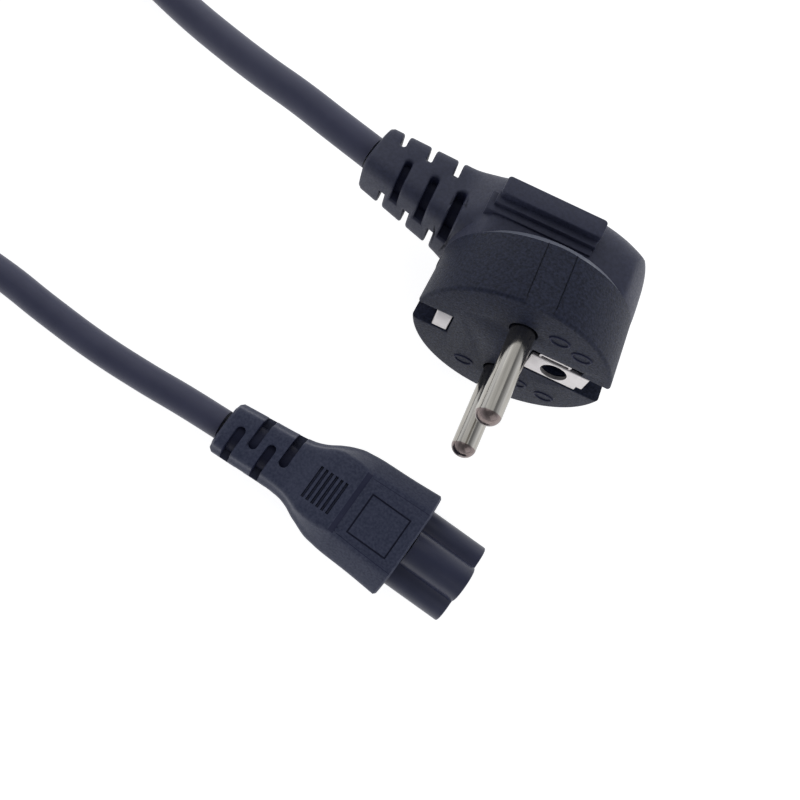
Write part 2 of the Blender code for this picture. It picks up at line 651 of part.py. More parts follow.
def build_coil(parts, tools, jacket, strap_material):
    """The coil's outer shape as one turned ring, and the strap that holds it."""
    inner = COIL_MEAN_RADIUS - COIL_WIDTH / 2
    outer = COIL_MEAN_RADIUS + COIL_WIDTH / 2
    corner = CORD_RADIUS * 0.5
    top = COIL_BASE + COIL_HEIGHT
    profile = [(inner + corner, top), (outer - corner, top), (outer, top - corner),
               (outer, COIL_BASE + corner), (outer - corner, COIL_BASE), (inner + corner, COIL_BASE),
               (inner, COIL_BASE + corner), (inner, top - corner), (inner + corner, top)]
    coil = turned("cord_coil", profile, DISC_STEPS, None, parts, jacket)
    coil.location = (*COIL_AT, 0)
    middle = (COIL_AT[0] - COIL_MEAN_RADIUS, COIL_AT[1], COIL_BASE + COIL_HEIGHT / 2)
    frame = make_frame("strap_frame", middle, (math.pi / 2, 0, 0), tools)
    half_across = COIL_WIDTH / 2 + STRAP_SLACK
    half_up = COIL_HEIGHT / 2 + SEAT_GAP
    outline = rounded_rectangle(half_across + STRAP_THICKNESS, half_up + STRAP_THICKNESS,
                                corner + STRAP_THICKNESS)
    strap = extruded("cord_tie", outline, STRAP_WIDTH, parts)
    strap.parent = frame
    strap.data.materials.append(strap_material)
    opening = rounded_rectangle(half_across, half_up, corner)
    hollow = extruded("strap_hollow", opening, STRAP_WIDTH + 2 * MM, tools)
    hollow.parent = frame
    boolean(strap, hollow, "DIFFERENCE")


def main():
    """Build the cord set."""
    clear_scene()
    parts = make_collection("cloverleaf_power_cord")
    tools = make_collection("cutters")
    vinyl = make_material("moulded_vinyl", (0.020, 0.022, 0.028), 0.55, 0.0)
    insert_vinyl = make_material("insert_vinyl", (0.016, 0.018, 0.026), 0.42, 0.0)
    jacket = make_material("cord_jacket", (0.026, 0.028, 0.036), 0.48, 0.0)
    nickel = make_material("nickel_pin", (0.72, 0.69, 0.64), 0.18, 1.0)
    contact_metal = make_material("contact_metal", (0.78, 0.77, 0.75), 0.32, 1.0)
    strap_material = make_material("strap_fabric", (0.015, 0.015, 0.017), 0.9, 0.0)
    build_plug(parts, tools, vinyl, nickel, contact_metal)
    build_connector(parts, tools, vinyl, insert_vinyl, contact_metal)
    build_lead("cord_plug_side", PLUG_LEAD_ROUTE, parts, jacket)
    build_lead("cord_connector_side", CONNECTOR_LEAD_ROUTE, parts, jacket)
    build_coil(parts, tools, jacket, strap_material)


main()
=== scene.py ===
"""A black mains cord set on a pale studio floor: angled earthed plug, cloverleaf connector, coiled cord.

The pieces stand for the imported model's nodes, in metres and in the same frame. Sizes are dataclass
fields in millimetres, measured in the frame of the sub-assembly that they belong to.
"""

from __future__ import annotations

import json
import logging
import math
from dataclasses import dataclass, field
from enum import Enum
from typing import Callable, Optional, Sequence

import bmesh
import bpy
from mathutils import Euler, Matrix, Vector

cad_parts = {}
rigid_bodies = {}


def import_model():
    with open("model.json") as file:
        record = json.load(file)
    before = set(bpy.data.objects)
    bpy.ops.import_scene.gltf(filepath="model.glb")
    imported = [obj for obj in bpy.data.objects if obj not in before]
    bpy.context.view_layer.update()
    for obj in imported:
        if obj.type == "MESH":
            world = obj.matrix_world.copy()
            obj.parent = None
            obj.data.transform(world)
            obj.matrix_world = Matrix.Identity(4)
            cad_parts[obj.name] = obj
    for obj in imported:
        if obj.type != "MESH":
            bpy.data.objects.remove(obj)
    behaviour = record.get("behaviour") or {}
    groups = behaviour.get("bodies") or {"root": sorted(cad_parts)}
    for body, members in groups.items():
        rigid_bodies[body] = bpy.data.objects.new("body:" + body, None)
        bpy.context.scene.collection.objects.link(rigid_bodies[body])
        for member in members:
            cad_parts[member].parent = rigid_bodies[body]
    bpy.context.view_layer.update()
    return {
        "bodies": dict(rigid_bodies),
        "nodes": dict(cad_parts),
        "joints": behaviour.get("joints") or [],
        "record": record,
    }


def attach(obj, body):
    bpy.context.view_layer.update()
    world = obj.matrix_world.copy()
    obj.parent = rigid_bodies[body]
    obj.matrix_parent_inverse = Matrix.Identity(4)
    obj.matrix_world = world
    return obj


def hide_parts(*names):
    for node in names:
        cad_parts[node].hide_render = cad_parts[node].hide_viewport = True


MM = 0.001
BODY = "root"
# How far a cutter reaches past what it cuts, and a joined piece into what carries it, in millimetres
PAST = 1.0
# Distance within which a face or point counts as touching a level, in millimetres
TOUCH = 0.05
# Smallest angle of an edge that counts as the rim of an opening, in degrees
RIM_ANGLE = 50.0
# Scale at which the wave texture has one band in a metre
ONE_BAND = 0.314

log = logging.getLogger("cord_set")

Point = tuple[float, float, float]
Place = tuple[float, float]


class Slot(Enum):
    """The record's material slots."""

    MOULDED_VINYL = "moulded_vinyl"
    INSERT_VINYL = "insert_vinyl"
    CORD_JACKET = "cord_jacket"
    NICKEL_PIN = "nickel_pin"
    CONTACT_METAL = "contact_metal"
    STRAP_FABRIC = "strap_fabric"


class PlugSide(Enum):
    """The two sides of the plug's face that carry an earth contact."""

    CABLE = 1
    FAR = -1


class Quarter(Enum):
    """Quarters of a strain relief, as signs along the two directions across it."""

    FRONT_ABOVE = (1, 1)
    REAR_ABOVE = (-1, 1)
    FRONT_BELOW = (1, -1)
    REAR_BELOW = (-1, -1)


class BodyLook(Enum):
    """Places of the plug body's finishes in its list of materials."""

    MOULDING = 0
    DISC = 1
    # The rear chamfer's glossy finish, lighter in colour: a painted highlight
    RIM = 2
    # Dark finish painted into slots and grooves: painted shade
    RECESS = 3


# Modelling steps shared by the sub-assemblies


def deselect() -> None:
    """Leave no object selected and none active."""
    bpy.ops.object.select_all(action="DESELECT")
    bpy.context.view_layer.objects.active = None


def activate(piece: bpy.types.Object) -> None:
    """Make a piece the only selected object and the active one.

    Args:
        piece: The object to work on.
    """
    deselect()
    piece.select_set(True)
    bpy.context.view_layer.objects.active = piece


def added(name: str) -> bpy.types.Object:
    """Name the primitive that was just added.

    Args:
        name: The piece's name.

    Returns:
        The active object, renamed.
    """
    piece = bpy.context.active_object
    piece.name = name
    piece.data.name = name
    return piece


def add_box(name: str, low: Sequence[float], high: Sequence[float]) -> bpy.types.Object:
    """Add a box between two corners.

    Args:
        name: The piece's name.
        low: Lowest corner in millimetres.
        high: Highest corner in millimetres.

    Returns:
        The box, its size applied.
    """
    deselect()
    middle = [(a + b) / 2 * MM for a, b in zip(low, high)]
    bpy.ops.mesh.primitive_cube_add(size=1, location=middle)
    box = added(name)
    box.scale = [(b - a) * MM for a, b in zip(low, high)]
    bpy.ops.object.transform_apply(location=True, rotation=True, scale=True)
    return box


def add_rod(name: str, radius: float, start: Point, end: Point, sides: int = 48) -> bpy.types.Object:
    """Add a cylinder from one point to another.

    Args:
        name: The piece's name.
        radius: Radius in millimetres.
        start: Centre of one end in millimetres.
        end: Centre of the other end in millimetres.
        sides: Number of sides.

    Returns:
        The cylinder, its place applied.
    """
    deselect()
    first, last = Vector(start) * MM, Vector(end) * MM
    turn = Vector((0, 0, 1)).rotation_difference(last - first).to_euler()
    bpy.ops.mesh.primitive_cylinder_add(vertices=sides, radius=radius * MM, depth=(last - first).length,
                                        location=(first + last) / 2, rotation=turn)
    rod = added(name)
    bpy.ops.object.transform_apply(location=True, rotation=True, scale=True)
    return rod


def add_loft(name: str, rings: Sequence[Sequence[Point]]) -> bpy.types.Object:
    """Extrude a filled ring from section to section, as by hand, into a closed solid.

    Args:
        name: The piece's name.
        rings: Sections of equally many points, in millimetres.

    Returns:
        The closed solid.
    """
    deselect()
    bpy.ops.mesh.primitive_circle_add(vertices=len(rings[0]), radius=MM, fill_type="NGON")
    piece = added(name)
    for vertex, place in zip(piece.data.vertices, rings[0]):
        vertex.co = Vector(place) * MM
    bpy.ops.object.mode_set(mode="EDIT")
    bpy.ops.mesh.select_mode(type="VERT")
    bpy.ops.mesh.select_all(action="SELECT")
    for ring in rings[1:]:
        bpy.ops.mesh.extrude_region_move()
        shape = bmesh.from_edit_mesh(piece.data)
        shape.verts.index_update()
        chosen = sorted((v for v in shape.verts if v.select), key=lambda v: v.index)
        for vertex, place in zip(chosen, ring):
            vertex.co = Vector(place) * MM
        bmesh.update_edit_mesh(piece.data)
    bpy.ops.mesh.select_all(action="SELECT")
    bpy.ops.mesh.normals_make_consistent(inside=False)
    bpy.ops.object.mode_set(mode="OBJECT")
    return piece


def apply_modifier(piece: bpy.types.Object, kind: str, **settings: object) -> None:
    """Add one modifier to a piece and apply it.

    Args:
        piece: The piece to change.
        kind: Blender's name of the modifier type.
        **settings: The modifier's own settings.
    """
    activate(piece)
    modifier = piece.modifiers.new(kind.lower(), kind)
    for key, value in settings.items():
        setattr(modifier, key, value)
    bpy.ops.object.modifier_apply(modifier=modifier.name)


def combine(piece: bpy.types.Object, tool: bpy.types.Object, operation: str = "DIFFERENCE") -> None:
    """Cut or join a piece with a tool object, which is used up.

    Args:
        piece: The piece that stays.
        tool: The object that cuts it or becomes part of it.
        operation: Blender's name of the Boolean operation.
    """
    apply_modifier(piece, "BOOLEAN", operation=operation, solver="EXACT", object=tool)
    bpy.data.objects.remove(tool, do_unlink=True)


def round_edges(piece: bpy.types.Object, width: float, segments: int = 3, angle: float = 32) -> None:
    """Round a piece's edges.

    Args:
        piece: The piece to change.
        width: Width of the rounding in millimetres.
        segments: Number of faces across the rounding.
        angle: Smallest angle, in degrees, of the edges that are rounded.
    """
    apply_modifier(piece, "BEVEL", width=width * MM, segments=segments, limit_method="ANGLE",
                   angle_limit=math.radians(angle), use_clamp_overlap=True, miter_outer="MITER_ARC")


def bevel_chosen(piece: bpy.types.Object, offset: float, segments: int,
                 chosen: Callable[[bmesh.types.BMEdge], bool]) -> None:
    """Round the edges of a piece that a test picks, in edit mode.

    Args:
        piece: The piece to change.
        offset: Width of the rounding in millimetres.
        segments: Number of faces across the rounding.
        chosen: The test of an edge.
    """
    activate(piece)
    bpy.ops.object.mode_set(mode="EDIT")
    bpy.ops.mesh.select_mode(type="EDGE")
    bpy.ops.mesh.select_all(action="DESELECT")
    shape = bmesh.from_edit_mesh(piece.data)
    for edge in shape.edges:
        edge.select_set(chosen(edge))
    bmesh.update_edit_mesh(piece.data)
    bpy.ops.mesh.bevel(offset=offset * MM, segments=segments, clamp_overlap=False)
    bpy.ops.object.mode_set(mode="OBJECT")


def is_sharp(edge: bmesh.types.BMEdge, angle: float) -> bool:
    """Tell whether an edge turns by more than an angle in degrees."""
    return len(edge.link_faces) == 2 and edge.calc_face_angle() > math.radians(angle)


def is_upright(edge: bmesh.types.BMEdge) -> bool:
    """Tell whether an edge of a box stands upright."""
    return abs(edge.verts[0].co.z - edge.verts[1].co.z) > MM


def on_side(side: int, near: float, far: float) -> list[float]:
    """Put two levels on one side of the middle.

    Args:
        side: 1 for the upper side, -1 for the lower one.
        near: The level nearer to the middle.
        far: The level further away.

    Returns:
        The two levels in rising order.
    """
    return sorted((side * near, side * far))


def merge_close(piece: bpy.types.Object, distance: float = 0.01) -> None:
    """Merge the points of a piece that all but meet, and drop faces without area.

    Args:
        piece: The piece to clean.
        distance: Merge distance in millimetres.
    """
    activate(piece)
    bpy.ops.object.mode_set(mode="EDIT")
    bpy.ops.mesh.select_all(action="SELECT")
    bpy.ops.mesh.remove_doubles(threshold=distance * MM)
    bpy.ops.mesh.dissolve_degenerate(threshold=distance * MM)
    bpy.ops.object.mode_set(mode="OBJECT")


def shade_by_angle(piece: bpy.types.Object, angle: float = 40) -> None:
    """Shade a piece smooth, with edges sharper than an angle left sharp.

    Args:
        piece: The piece to shade.
        angle: Angle in degrees.
    """
    activate(piece)
    bpy.ops.object.shade_smooth_by_angle(angle=math.radians(angle))


def settle(piece: bpy.types.Object, place: Matrix) -> None:
    """Move a piece from its own frame to its place, and leave its object at the origin.

    Args:
        piece: The piece to place.
        place: The frame of its sub-assembly.
    """
    piece.matrix_world = place @ piece.matrix_world
    activate(piece)
    bpy.ops.object.transform_apply(location=True, rotation=True, scale=True)


def dress(piece: bpy.types.Object, slot: Slot, *looks: bpy.types.Material) -> None:
    """Give a piece its materials, and let it ride on the part.

    Args:
        piece: The piece to dress.
        slot: The record's slot that its main finish belongs to; not used.
        *looks: Its materials, the main one first.
    """
    piece.data.materials.clear()
    for look in looks:
        piece.data.materials.append(look)
    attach(piece, BODY)
    log.info("%s: %d faces", piece.name, len(getattr(piece.data, "polygons", ())))


def arc(middle: Place, radius: float, start: float, end: float, steps: int) -> list[Place]:
    """Work out points along an arc.

    Args:
        middle: Centre of the arc.
        radius: Its radius.
        start: First angle in degrees.
        end: Last angle in degrees.
        steps: Number of equal steps.

    Returns:
        The points, one more than the steps.
    """
    points = []
    for step in range(steps + 1):
        angle = math.radians(start + (end - start) * step / steps)
        points.append((middle[0] + radius * math.cos(angle), middle[1] + radius * math.sin(angle)))
    return points


def rounded(outline: Sequence[Place], radius: float, steps: int = 4) -> list[Place]:
    """Round each corner of a closed outline with a smooth curve.

    Args:
        outline: Corners in order.
        radius: How far from each corner the curve starts, cut to 0.45 of a short side.
        steps: Number of steps round each corner.

    Returns:
        The outline with steps + 1 points for each corner.
    """
    points = []
    corners = [Vector(corner) for corner in outline]
    for before, corner, after in zip([corners[-1], *corners], corners, [*corners[1:], corners[0]]):
        back, ahead = before - corner, after - corner
        start = corner + back.normalized() * min(radius, 0.45 * back.length)
        end = corner + ahead.normalized() * min(radius, 0.45 * ahead.length)
        for step in range(steps + 1):
            t = step / steps
            point = start * (1 - t) ** 2 + corner * 2 * t * (1 - t) + end * t ** 2
            points.append((point.x, point.y))
    return points


def stadium(start: Place, end: Place, width: float, steps: int = 8) -> list[Place]:
    """Draw a slot with a round end at its start and a square end.

    Args:
        start: Outermost point of the round end.
        end: Middle of the square end.
        width: The slot's width.
        steps: Steps round the round end.

    Returns:
        The outline, counter-clockwise for a slot along the second direction.
    """
    way = (Vector(end) - Vector(start)).normalized()
    across = Vector((-way.y, way.x))
    centre = Vector(start) + way * width / 2
    points = []
    for step in range(steps + 1):
        angle = math.pi * step / steps
        points.append(centre + (across * math.cos(angle) - way * math.sin(angle)) * width / 2)
    points += [Vector(end) - across * width / 2, Vector(end) + across * width / 2]
    return [(point.x, point.y) for point in points]


def smooth_between(table: Sequence[Sequence[float]], count: int) -> list[list[float]]:
    """Read a table of sections at more places, on smooth curves through its rows.

    Args:
        table: Rows of numbers, the first of each row rising.
        count: Number of rows between two rows of the table.

    Returns:
        The finer table.
    """
    rows = [table[0], *table, table[-1]]
    finer: list[list[float]] = []
    for before, start, end, after in zip(rows, rows[1:], rows[2:], rows[3:]):
        for step in range(count):
            t = step / count
            row = [start[0] + (end[0] - start[0]) * t]
            run = end[0] - start[0]
            for column in range(1, len(start)):
                first, last = start[column], end[column]
                slope_in = (last - before[column]) / (end[0] - before[0]) * run
                slope_out = (after[column] - first) / (after[0] - start[0]) * run
                row.append(first * (2 * t ** 3 - 3 * t ** 2 + 1) + slope_in * (t ** 3 - 2 * t ** 2 + t)
                           + last * (3 * t ** 2 - 2 * t ** 3) + slope_out * (t ** 3 - t ** 2))
            finer.append(row)
    finer.append(list(table[-1]))
    return finer


# Finishes


@dataclass(frozen=True)
class Finish:
    """What every finish has: a Principled shader on Object coordinates.

    The gloss is how far the roughness falls and rises about its own value.
    """

    name: str
    colour: Point
    roughness: float
    gloss: Place = (-0.06, 0.08)

    def material(self) -> bpy.types.Material:
        """Make the material with its detail.

        Returns:
            The finished material.
        """
        material = bpy.data.materials.new(self.name)
        material.use_nodes = True
        tree = material.node_tree
        shader = tree.nodes["Principled BSDF"]
        shader.inputs["Base Color"].default_value = (*self.colour, 1)
        shader.inputs["Roughness"].default_value = self.roughness
        self.detail(tree, shader)
        return material

    def detail(self, tree: bpy.types.NodeTree, shader: bpy.types.Node) -> None:
        """Add the nodes that set this finish apart.

        Args:
            tree: The material's nodes.
            shader: The Principled shader.
        """

    @staticmethod
    def noise(tree: bpy.types.NodeTree, grain: float, detail: float = 2,
              stretch: Point = (1, 1, 1), turn: Point = (0, 0, 0)) -> bpy.types.Node:
        """Add a noise texture on Object coordinates.

        Args:
            tree: The material's nodes.
            grain: Size of the grain in millimetres.
            detail: Octaves of finer noise.
            stretch: Scale of the pattern along X, Y and Z of its own frame.
            turn: How its frame is turned, as Euler angles in degrees.

        Returns:
            The noise node.
        """
        where = tree.nodes.new("ShaderNodeTexCoord")
        mapping = tree.nodes.new("ShaderNodeMapping")
        mapping.vector_type = "TEXTURE"
        mapping.inputs["Rotation"].default_value = [math.radians(angle) for angle in turn]
        mapping.inputs["Scale"].default_value = [1 / part for part in stretch]
        noise = tree.nodes.new("ShaderNodeTexNoise")
        noise.inputs["Scale"].default_value = 1 / (grain * MM)
        noise.inputs["Detail"].default_value = detail
        tree.links.new(where.outputs["Object"], mapping.inputs["Vector"])
        tree.links.new(mapping.outputs["Vector"], noise.inputs["Vector"])
        return noise

    @staticmethod
    def ramp(tree: bpy.types.NodeTree, source: bpy.types.NodeSocket, low: float,
             high: float) -> bpy.types.Node:
        """Spread a value between two numbers.

        Args:
            tree: The material's nodes.
            source: The value, from 0.3 to 0.7 as noise gives it.
            low: The result at the low end.
            high: The result at the high end.

        Returns:
            The Map Range node.
        """
        spread = tree.nodes.new("ShaderNodeMapRange")
        spread.inputs["From Min"].default_value = 0.3
        spread.inputs["From Max"].default_value = 0.7
        spread.inputs["To Min"].default_value = low
        spread.inputs["To Max"].default_value = high
        tree.links.new(source, spread.inputs["Value"])
        return spread

    @staticmethod
    def bump(tree: bpy.types.NodeTree, height: bpy.types.NodeSocket, depth: float, strength: float,
             below: Optional[bpy.types.Node] = None) -> bpy.types.Node:
        """Add a bump of a real depth.

        Args:
            tree: The material's nodes.
            height: The height socket.
            depth: Depth in millimetres.
            strength: Strength of the bump.
            below: A bump that this one goes on top of.

        Returns:
            The bump node.
        """
        bump = tree.nodes.new("ShaderNodeBump")
        bump.inputs["Distance"].default_value = depth * MM
        bump.inputs["Strength"].default_value = strength
        tree.links.new(height, bump.inputs["Height"])
        if below:
            tree.links.new(below.outputs["Normal"], bump.inputs["Normal"])
        return bump

    def tint(self, tree: bpy.types.NodeTree, shader: bpy.types.Node, source: bpy.types.NodeSocket,
             other: Point) -> None:
        """Vary the colour between the finish's own and another one.

        Args:
            tree: The material's nodes.
            shader: The Principled shader.
            source: What drives the change, as noise gives it.
            other: The other colour.
        """
        share = self.ramp(tree, source, 0.0, 1.0)
        mix = tree.nodes.new("ShaderNodeMix")
        mix.data_type = "RGBA"
        mix.inputs["A"].default_value = (*self.colour, 1)
        mix.inputs["B"].default_value = (*other, 1)
        tree.links.new(share.outputs["Result"], mix.inputs["Factor"])
        tree.links.new(mix.outputs["Result"], shader.inputs["Base Color"])

    def vary_gloss(self, tree: bpy.types.NodeTree, shader: bpy.types.Node,
                   source: bpy.types.NodeSocket) -> None:
        """Let the roughness vary about the finish's own.

        Args:
            tree: The material's nodes.
            shader: The Principled shader.
            source: What drives the change, as noise gives it.
        """
        fall, rise = self.gloss
        gloss = self.ramp(tree, source, self.roughness + fall, self.roughness + rise)
        tree.links.new(gloss.outputs["Result"], shader.inputs["Roughness"])


@dataclass(frozen=True)
class SparkedVinyl(Finish):
    """Moulded vinyl from a spark-eroded mould: a fine pebbled grain with uneven gloss.

    The lighter tone comes in patches, cloudy or speckled by their size. Sizes are in millimetres.
    """

    gloss: Place = (-0.1, 0.12)
    grain: float = 0.32
    depth: float = 0.02
    strength: float = 0.5
    specular: float = 0.3
    lighter: Point = (0.02, 0.021, 0.026)
    patch: float = 0.5

    def detail(self, tree: bpy.types.NodeTree, shader: bpy.types.Node) -> None:
        """Add the grain, its uneven gloss and the patches of a lighter tone.

        Args:
            tree: The material's nodes.
            shader: The Principled shader.
        """
        shader.inputs["Specular IOR Level"].default_value = self.specular
        grain = self.noise(tree, self.grain, 3)
        patches = self.noise(tree, self.patch, 2)
        self.tint(tree, shader, patches.outputs["Fac"], self.lighter)
        self.vary_gloss(tree, shader, grain.outputs["Fac"])
        pebbles = self.bump(tree, grain.outputs["Fac"], self.depth, self.strength)
        tree.links.new(pebbles.outputs["Normal"], shader.inputs["Normal"])


@dataclass(frozen=True)
class JacketVinyl(Finish):
    """Smooth satin vinyl, as the cord's extruded jacket: soft waves and a fine dulling, in millimetres."""

    specular: float = 0.4
    lighter: Point = (0.03, 0.032, 0.04)
    wave: float = 5.0
    wave_depth: float = 0.08
    wave_strength: float = 0.35
    grain: float = 0.18
    grain_depth: float = 0.01
    grain_strength: float = 0.4

    def detail(self, tree: bpy.types.NodeTree, shader: bpy.types.Node) -> None:
        """Add the soft waves of the extrusion and a fine grain.

        Args:
            tree: The material's nodes.
            shader: The Principled shader.
        """
        shader.inputs["Specular IOR Level"].default_value = self.specular
        waves = self.noise(tree, self.wave, 2)
        grain = self.noise(tree, self.grain, 2)
        self.tint(tree, shader, waves.outputs["Fac"], self.lighter)
        self.vary_gloss(tree, shader, grain.outputs["Fac"])
        soft = self.bump(tree, waves.outputs["Fac"], self.wave_depth, self.wave_strength)
        fine = self.bump(tree, grain.outputs["Fac"], self.grain_depth, self.grain_strength, soft)
        tree.links.new(fine.outputs["Normal"], shader.inputs["Normal"])


@dataclass(frozen=True)
class PolishedNickel(Finish):
    """Polished nickel plate with fine streaks along the pin, which lie in the plug's frame: a drawn grain
    from use in the bump, and painted reflection streaks in the colour.
    """

    gloss: Place = (-0.04, 0.08)
    stretch: Point = (1, 0.05, 1)
    turn: Point = (13.37, 0, 190.6)
    polish: float = 2.2
    streak: float = 0.5
    streak_depth: float = 0.01
    streak_strength: float = 0.3
    reflection_streak_tone: float = 0.72

    def detail(self, tree: bpy.types.NodeTree, shader: bpy.types.Node) -> None:
        """Add uneven polish, a faint drawn grain and painted reflection streaks.

        Args:
            tree: The material's nodes.
            shader: The Principled shader.
        """
        shader.inputs["Metallic"].default_value = 1
        polish = self.noise(tree, self.polish, 4)
        self.vary_gloss(tree, shader, polish.outputs["Fac"])
        streaks = self.noise(tree, self.streak, 3, self.stretch, self.turn)
        # Darker streaks in the colour: painted reflection
        reflection_streak_colour = tuple(self.reflection_streak_tone * part for part in self.colour)
        self.tint(tree, shader, streaks.outputs["Fac"], reflection_streak_colour)
        marks = self.bump(tree, streaks.outputs["Fac"], self.streak_depth, self.streak_strength)
        tree.links.new(marks.outputs["Normal"], shader.inputs["Normal"])


@dataclass(frozen=True)
class StampedStrip(Finish):
    """Satin contact strip, rolled and stamped, with streaks along one direction."""

    gloss: Place = (-0.08, 0.12)
    metallic: float = 0.85
    stretch: Point = (1, 8, 8)
    streak: float = 1.6
    streak_depth: float = 0.01
    streak_strength: float = 0.4

    def detail(self, tree: bpy.types.NodeTree, shader: bpy.types.Node) -> None:
        """Add the rolled streaks.

        Args:
            tree: The material's nodes.
            shader: The Principled shader.
        """
        shader.inputs["Metallic"].default_value = self.metallic
        streaks = self.noise(tree, self.streak, 5, self.stretch)
        self.vary_gloss(tree, shader, streaks.outputs["Fac"])
        lines = self.bump(tree, streaks.outputs["Fac"], self.streak_depth, self.streak_strength)
        tree.links.new(lines.outputs["Normal"], shader.inputs["Normal"])


@dataclass(frozen=True)
class WovenStrap(Finish):
    """Hook-and-loop strap: a tight weave under a low nap, in millimetres."""

    thread: float = 0.7
    unevenness: float = 0.6
    weave_depth: float = 0.15
    weave_strength: float = 0.7
    nap: float = 0.25
    nap_depth: float = 0.1
    nap_strength: float = 0.6
    lighter: Point = (0.035, 0.035, 0.04)
    sheen: float = 0.3

    def detail(self, tree: bpy.types.NodeTree, shader: bpy.types.Node) -> None:
        """Add the crossing threads and the nap.

        Args:
            tree: The material's nodes.
            shader: The Principled shader.
        """
        where = tree.nodes.new("ShaderNodeTexCoord")
        crossing = tree.nodes.new("ShaderNodeMath")
        crossing.operation = "MULTIPLY"
        for direction, socket in zip(("Y", "Z"), crossing.inputs):
            threads = tree.nodes.new("ShaderNodeTexWave")
            threads.bands_direction = direction
            threads.inputs["Scale"].default_value = ONE_BAND / (self.thread * MM)
            threads.inputs["Distortion"].default_value = self.unevenness
            tree.links.new(where.outputs["Object"], threads.inputs["Vector"])
            tree.links.new(threads.outputs["Fac"], socket)
        nap = self.noise(tree, self.nap, 3)
        self.tint(tree, shader, nap.outputs["Fac"], self.lighter)
        weave = self.bump(tree, crossing.outputs["Value"], self.weave_depth, self.weave_strength)
        fuzz = self.bump(tree, nap.outputs["Fac"], self.nap_depth, self.nap_strength, weave)
        tree.links.new(fuzz.outputs["Normal"], shader.inputs["Normal"])
        shader.inputs["Sheen Weight"].default_value = self.sheen


@dataclass(frozen=True)
class Finishes:
    """All the finishes of the cord set, made once."""

    disc: bpy.types.Material
    rim: bpy.types.Material
    recess: bpy.types.Material
    moulding: bpy.types.Material
    connector: bpy.types.Material
    insert: bpy.types.Material
    jacket: bpy.types.Material
    nickel: bpy.types.Material
    tip: bpy.types.Material
    contact: bpy.types.Material
    strap: bpy.types.Material

    @classmethod
    def make(cls) -> "Finishes":
        """Make every finish.

        Returns:
            The set of materials.
        """
        return cls(
            disc=SparkedVinyl("sparked_disc_vinyl", (0.001, 0.003, 0.013), 0.55, grain=0.3, depth=0.07,
                              strength=1.0, specular=0.25, lighter=(0.018, 0.023, 0.050)).material(),
            # Glossy rim whose light colour is a painted highlight
            rim=JacketVinyl("polished_rim_painted_highlight_vinyl", (0.12, 0.13, 0.17), 0.34, specular=0.6,
                            lighter=(0.15, 0.16, 0.20)).material(),
            # Darker vinyl for slots, grooves, the step and the ovals: painted shade
            recess=JacketVinyl("recess_vinyl", (0.016, 0.019, 0.046), 0.5, specular=0.15,
                               lighter=(0.022, 0.025, 0.055)).material(),
            moulding=SparkedVinyl("plug_body_vinyl", (0.025, 0.028, 0.052), 0.5,
                                  lighter=(0.034, 0.038, 0.070), patch=0.7).material(),
            connector=SparkedVinyl("connector_vinyl", (0.023, 0.029, 0.060), 0.55, grain=0.26, depth=0.03,
                                   strength=0.6, lighter=(0.049, 0.056, 0.096)).material(),
            insert=JacketVinyl("insert_vinyl", (0.020, 0.024, 0.054), 0.36,
                               lighter=(0.027, 0.031, 0.066)).material(),
            jacket=JacketVinyl("cord_jacket_vinyl", (0.045, 0.048, 0.086), 0.42, specular=0.3,
                               lighter=(0.055, 0.058, 0.100)).material(),
            nickel=PolishedNickel("polished_nickel", (0.46, 0.44, 0.40), 0.13).material(),
            tip=PolishedNickel("shaded_nickel_tip", (0.27, 0.22, 0.21), 0.2).material(),
            contact=StampedStrip("stamped_contact_strip", (0.70, 0.67, 0.67), 0.42).material(),
            strap=WovenStrap("strap_weave", (0.012, 0.012, 0.014), 0.85).material(),
        )


# The plug


